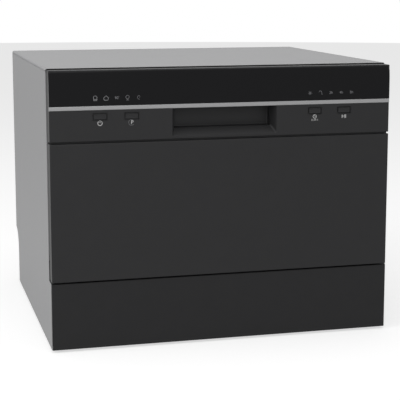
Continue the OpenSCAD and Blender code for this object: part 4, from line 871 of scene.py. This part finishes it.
# %% Softened nodes
# Each row: radius in mm, whether Bevel may shrink it where edges lie close together, the nodes.
soft_rows = [
    (0.4, True, ["left_side_panel", "right_side_panel", "hinge_bracket_left",
                 "hinge_bracket_right", "hinge_arm_left", "hinge_arm_right", "latch_striker"]),
    (0.5, False, ["top_panel", "wheel_holders", "spray_feed"]),
    (0.6, True, ["base_tray", "door_gasket", "detergent_lid", "foot_front_left",
                 "foot_front_right", "foot_rear_left", "foot_rear_right", "cord_gland",
                 "door_lock"]),
    (0.3, True, ["rack_rails", "kick_plate"]),
    (0.8, True, ["cup_shelf", "front_wheels", "rear_wheels"]),
    (0.8, False, ["dispenser", "sump"]),
    (1.0, True, ["salt_container", "air_break"]),
    (0.5, True, ["drain_spigot"]),
]
for radius, clamp, nodes in soft_rows:
    for node in nodes:
        dress_as(soften(node, radius, clamp), node)

# %% [markdown]
# ## Two caps
#
# The cap of the rinse aid beside the detergent cup and the cap of the salt container are both
# turned by hand. One has a bar to grip and small notches round its rim, the other three crossed
# bars. Where bars meet, a Bevel modifier can leave a spike. So each cap is built from rounded
# pieces that are joined, and one small rod cuts all the notches in turn.

# %% Rinse-aid cap
PLATE, GRIP = 1.5, 3.0  # mm: thickness of the cap's plate, and height of the bar over it
NOTCHES = 24
cap_low, cap_high = box_mm("rinse_cap")
cap_x, cap_z = (cap_low.x + cap_high.x) / 2, (cap_low.z + cap_high.z) / 2
cap_radius = (cap_high.x - cap_low.x) / 2
plate_low = cap_high.y - GRIP - PLATE
plate_high = plate_low + PLATE
cap = rod("turned_rinse_cap", (cap_x, (plate_low + plate_high) / 2, cap_z), cap_radius,
          plate_high - plate_low, "y", 72)
round_edges(cap, 0.5, lambda c, s: c.y > plate_high - 0.1, 3)
notch_radius = cap_radius + 0.3
for number in range(NOTCHES):
    turn = 2 * math.pi * number / NOTCHES
    place = (cap_x + notch_radius * math.cos(turn), plate_high,
             cap_z + notch_radius * math.sin(turn))
    combine(cap, rod("notch", place, 0.9, 4, "y", 12), "DIFFERENCE")
grip = block("grip", (cap_x - 12, plate_high - 0.5, cap_z - 2),
             (cap_x + 12, cap_high.y, cap_z + 2))
round_edges(grip, 1.2, lambda c, s: c.y > cap_high.y - 0.1 or abs(s.y) > 2, 3)
combine(cap, grip, "UNION")
neck = rod("neck", (cap_x, (cap_low.y + plate_high - 0.5) / 2, cap_z), cap_radius - 2,
           plate_high - 0.5 - cap_low.y, "y", 48)
combine(cap, neck, "UNION")
dress(cap, plastic_blue, "plastic_blue", "rinse_cap", "rinse_cap")

# %% Salt cap
# The flange and the disc on it lie FLANGE_DOWN and DISC_DOWN below the top of the bars.
FLANGE_DOWN, FLANGE = 6, 7
DISC_DOWN, DISC, DISC_RADIUS = 4, 2.5, 24
BAR_LENGTH, BAR_WIDTH = 44, 4.4
SKIRT_RADIUS, BORE_RADIUS = 22.6, 19
salt_low, salt_high = box_mm("salt_cap")
cap_x, cap_y, cap_top = (salt_low.x + salt_high.x) / 2, (salt_low.y + salt_high.y) / 2, salt_high.z
salt_cap = rod("turned_salt_cap", (cap_x, cap_y, cap_top - (FLANGE_DOWN + FLANGE / 2)),
               (salt_high.x - salt_low.x) / 2, FLANGE, "z", 72)
round_edges(salt_cap, 1.0, lambda c, s: c.z > cap_top - FLANGE_DOWN - 0.1, 3)
disc = rod("disc", (cap_x, cap_y, cap_top - (DISC_DOWN + DISC / 2)), DISC_RADIUS, DISC, "z", 72)
round_edges(disc, 0.8, lambda c, s: c.z > cap_top - DISC_DOWN - 0.1, 3)
combine(salt_cap, disc, "UNION")
for turn in (0, 60, 120):
    crossbar = block("crossbar", (-BAR_LENGTH / 2, -BAR_WIDTH / 2, cap_top - 4.5),
                     (BAR_LENGTH / 2, BAR_WIDTH / 2, cap_top))
    round_edges(crossbar, 0.9, lambda c, s: c.z > cap_top - 0.1 or abs(s.z) > 3, 3)
    crossbar.rotation_euler.z = math.radians(turn)
    crossbar.location = Vector((cap_x, cap_y, 0)) * MM
    settle(crossbar)
    combine(salt_cap, crossbar, "UNION")
skirt = rod("skirt", (cap_x, cap_y, (salt_low.z + cap_top - 12) / 2), SKIRT_RADIUS,
            cap_top - 12 - salt_low.z, "z", 72)
combine(salt_cap, skirt, "UNION")
bore = rod("bore", (cap_x, cap_y, salt_low.z + 6), BORE_RADIUS, 14, "z", 72)
combine(salt_cap, bore, "DIFFERENCE")
dress(salt_cap, plastic_blue, "plastic_blue", body_of["salt_cap"], "salt_cap")

# %% [markdown]
# ## Screws
#
# The sheet-metal screws are all alike, so one is modelled and copied. A head is a low cylinder
# with a rounded rim and a cross pressed into it. On the back they sit flush in countersinks; on
# the door liner they are low pan heads that clear the tub's flange.

# %% One screw
HEAD_RADIUS, HEAD = 3.6, 1.0
SLOT, SLOT_WIDTH = 2.2, 0.5  # half length and half width of the cross
screw_master = rod("screw", (0, 0, 0), HEAD_RADIUS, HEAD, "z", 32)
round_edges(screw_master, 0.45, lambda c, s: c.z > 0.4, 3)
for x, y in ((SLOT, SLOT_WIDTH), (SLOT_WIDTH, SLOT)):
    combine(screw_master, block("cross", (-x, -y, -0.1), (x, y, 1)), "DIFFERENCE")
print("screw head:", len(screw_master.data.polygons), "faces")


def place_screw(name, body, place, away):
    """A copy of the screw at a place in mm, its head facing +Y or -Y."""
    screw = bpy.data.objects.new(name, screw_master.data.copy())
    bpy.context.scene.collection.objects.link(screw)
    screw.rotation_euler = (-math.pi / 2 * away, 0, 0)
    screw.location = Vector(place) * MM
    settle(screw)
    dress(screw, screw_steel, "zinc", body)


# %% Back sheet with countersinks
back_low, back_high = box_mm("back_panel")
back_sheet = soften("back_panel", 0.35, clamp=False)
back_places = [(side * 266, z) for side in (-1, 1) for z in (130, 225, 320, 415)]
for x, z in back_places:
    combine(back_sheet, rod("sink", (x, back_high.y, z), 3.9, 3, "y", 32), "DIFFERENCE")
dress_as(back_sheet, "back_panel")
for number, (x, z) in enumerate(back_places, 1):
    place_screw(f"screw_back_{number}", "cabinet", (x, back_high.y - 0.55, z), 1)

# %% Screws of the lower rear wall and the door liner
wall_y = back_low.y + 1
for number, x in enumerate((-248, -70, 62, 250), 1):
    place_screw(f"screw_wall_{number}", "cabinet", (x, wall_y + 0.5, 24), 1)
for number, (side, z) in enumerate([(s, z) for s in (-1, 1) for z in (165, 280, 395)], 1):
    place_screw(f"screw_door_{number}", "door", (side * 259, liner_high.y + 0.5, z), 1)
bpy.data.objects.remove(screw_master)

# %% [markdown]
# ## Inlet thread and door springs
#
# A thread and a coil spring are the same thing: a small profile that turns round an axis while
# it moves along it. The Screw modifier does just that to a circle of a few vertices. Three
# vertices make the sharp ridge of a pipe thread, eight make a round wire.

# %% Helix


def helix(name, profile, corners, radius, start, rise, turns, axis):
    """A profile of a few corners swept along a helix. The start is its lowest centre, in mm."""
    bpy.ops.object.select_all(action="DESELECT")
    bpy.ops.mesh.primitive_circle_add(vertices=corners, radius=profile * MM, fill_type="NOTHING",
                                      location=(radius * MM, 0, 0), rotation=(math.pi / 2, 0, 0))
    piece = bpy.context.object
    piece.name = name
    settle(piece)
    apply_modifier(piece, "SCREW", axis="Z", angle=2 * math.pi * turns, screw_offset=rise * MM,
                   steps=round(18 * turns), render_steps=round(18 * turns), use_merge_vertices=True)
    bpy.ops.object.mode_set(mode="EDIT")
    bpy.ops.mesh.select_mode(type="EDGE")
    bpy.ops.mesh.select_all(action="DESELECT")
    bpy.ops.mesh.select_non_manifold()
    bpy.ops.mesh.edge_face_add()
    bpy.ops.mesh.select_all(action="SELECT")
    bpy.ops.mesh.normals_make_consistent(inside=False)
    bpy.ops.object.mode_set(mode="OBJECT")
    if axis == "y":
        piece.rotation_euler = (-math.pi / 2, 0, 0)
    piece.location = Vector(start) * MM
    settle(piece)
    return piece


# %% Inlet valve with its thread
# The CAD port is as wide as the crests all along. A sleeve cut from it leaves the core, and the
# ridge starts just inside the core, so that the two are one to the eye.
PORT_Z, THREAD_Y, THREAD_LENGTH = 36, 228, 15.4
CORE_RADIUS, RIDGE_RADIUS, RIDGE, TURNS = 12.2, 12.1, 1.0, 7
valve_low, valve_high = box_mm("inlet_valve")
port_x = (valve_low.x + valve_high.x) / 2
valve = soften("inlet_valve", 0.6)
sleeve = rod("sleeve", (port_x, THREAD_Y, PORT_Z), 15, THREAD_LENGTH, "y", 64)
core = rod("core", (port_x, THREAD_Y, PORT_Z), CORE_RADIUS, 17, "y", 64)
combine(sleeve, core, "DIFFERENCE")
combine(valve, sleeve, "DIFFERENCE")
dress_as(valve, "inlet_valve")
thread = helix("inlet_thread", RIDGE, 3, RIDGE_RADIUS, (port_x, 221.6, PORT_Z), 12.6, TURNS, "y")
dress(thread, plastic_white, "plastic_white", "cabinet")

# %% Door springs
# Each spring is a coil with an eye at either end. It stretches between cabinet and door.
WIRE, COILS, COIL_RADIUS, EYE_RADIUS = 0.7, 26, 3.3, 3.2
END, EYE_AT = 10, 3.9  # mm from either end to the first coil, and to the eye's middle
NECK_AT = 5.2  # mm from the eye's middle to the neck's
for side in ("left", "right"):
    low, high = box_mm("door_spring_" + side)
    x, y = (low.x + high.x) / 2, (low.y + high.y) / 2
    spring = helix("coil_spring_" + side, WIRE, 8, COIL_RADIUS, (x, y, low.z + END),
                   high.z - low.z - 2 * END, COILS, "z")
    for z, inward in ((low.z + EYE_AT, 1), (high.z - EYE_AT, -1)):
        bpy.ops.object.select_all(action="DESELECT")
        bpy.ops.mesh.primitive_torus_add(major_radius=EYE_RADIUS * MM, minor_radius=WIRE * MM,
                                         major_segments=24, minor_segments=8,
                                         location=Vector((x, y, z)) * MM,
                                         rotation=(0, math.pi / 2, 0))
        eye = bpy.context.object
        settle(eye)
        neck = rod("neck", (x, y + 1.2, z + NECK_AT * inward), WIRE, 5, "z", 8)
        for part in (eye, neck):
            combine(spring, part, "UNION")
    spring.data.materials.clear()
    spring.data.materials.append(zinc)
    select_only(spring)
    bpy.ops.object.shade_smooth_by_angle(angle=math.radians(60))
    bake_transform(spring)
    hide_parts("door_spring_" + side)
    print(spring.name, len(spring.data.polygons), "faces")

# %% [markdown]
# ## Tub
#
# The tub is pressed from stainless sheet. Long shallow beads stiffen its walls and ceiling, and
# they are what you notice first inside, because each one catches a line of light. A bead is a
# flat block with fully rounded ends, joined to the wall.

# %% Tub with beads
tub = soften("tub", 0.3)
TUB_HALF, TUB_REAR, TUB_CEILING = 228, 213, 417  # inner faces of the sheet
HALF, RISE = 6, 1.5  # half a bead's width, and how far it stands out
beads = [((side * TUB_HALF - RISE, -150, z - HALF), (side * TUB_HALF + RISE, 165, z + HALF))
         for side in (-1, 1) for z in (318, 370)]
beads += [((-175, TUB_REAR - RISE, z - HALF), (175, TUB_REAR + RISE, z + HALF))
          for z in (250, 310, 370)]
beads += [((-165, y - HALF, TUB_CEILING - RISE), (165, y + HALF, TUB_CEILING + RISE))
          for y in (-90, 0, 90)]
for low, high in beads:
    size = Vector(high) - Vector(low)
    thin = min(range(3), key=lambda i: size[i])
    middle_point = (Vector(high) + Vector(low)) / 2
    inward = -1 if middle_point[thin] > 0 else 1
    # 1 mm less on the outside, so that the bead ends within the sheet
    if inward < 0:
        high = tuple(h - (1 if i == thin else 0) for i, h in enumerate(high))
    else:
        low = tuple(v + (1 if i == thin else 0) for i, v in enumerate(low))
    bead = block("bead", low, high)
    round_edges(bead, 5.9, lambda c, s: abs(s[thin]) > 1, 5)
    round_edges(bead, 1.3, lambda c, s: (c[thin] - middle_point[thin]) * inward > 1.2, 3)
    combine(tub, bead, "UNION")
dress_as(tub, "tub")
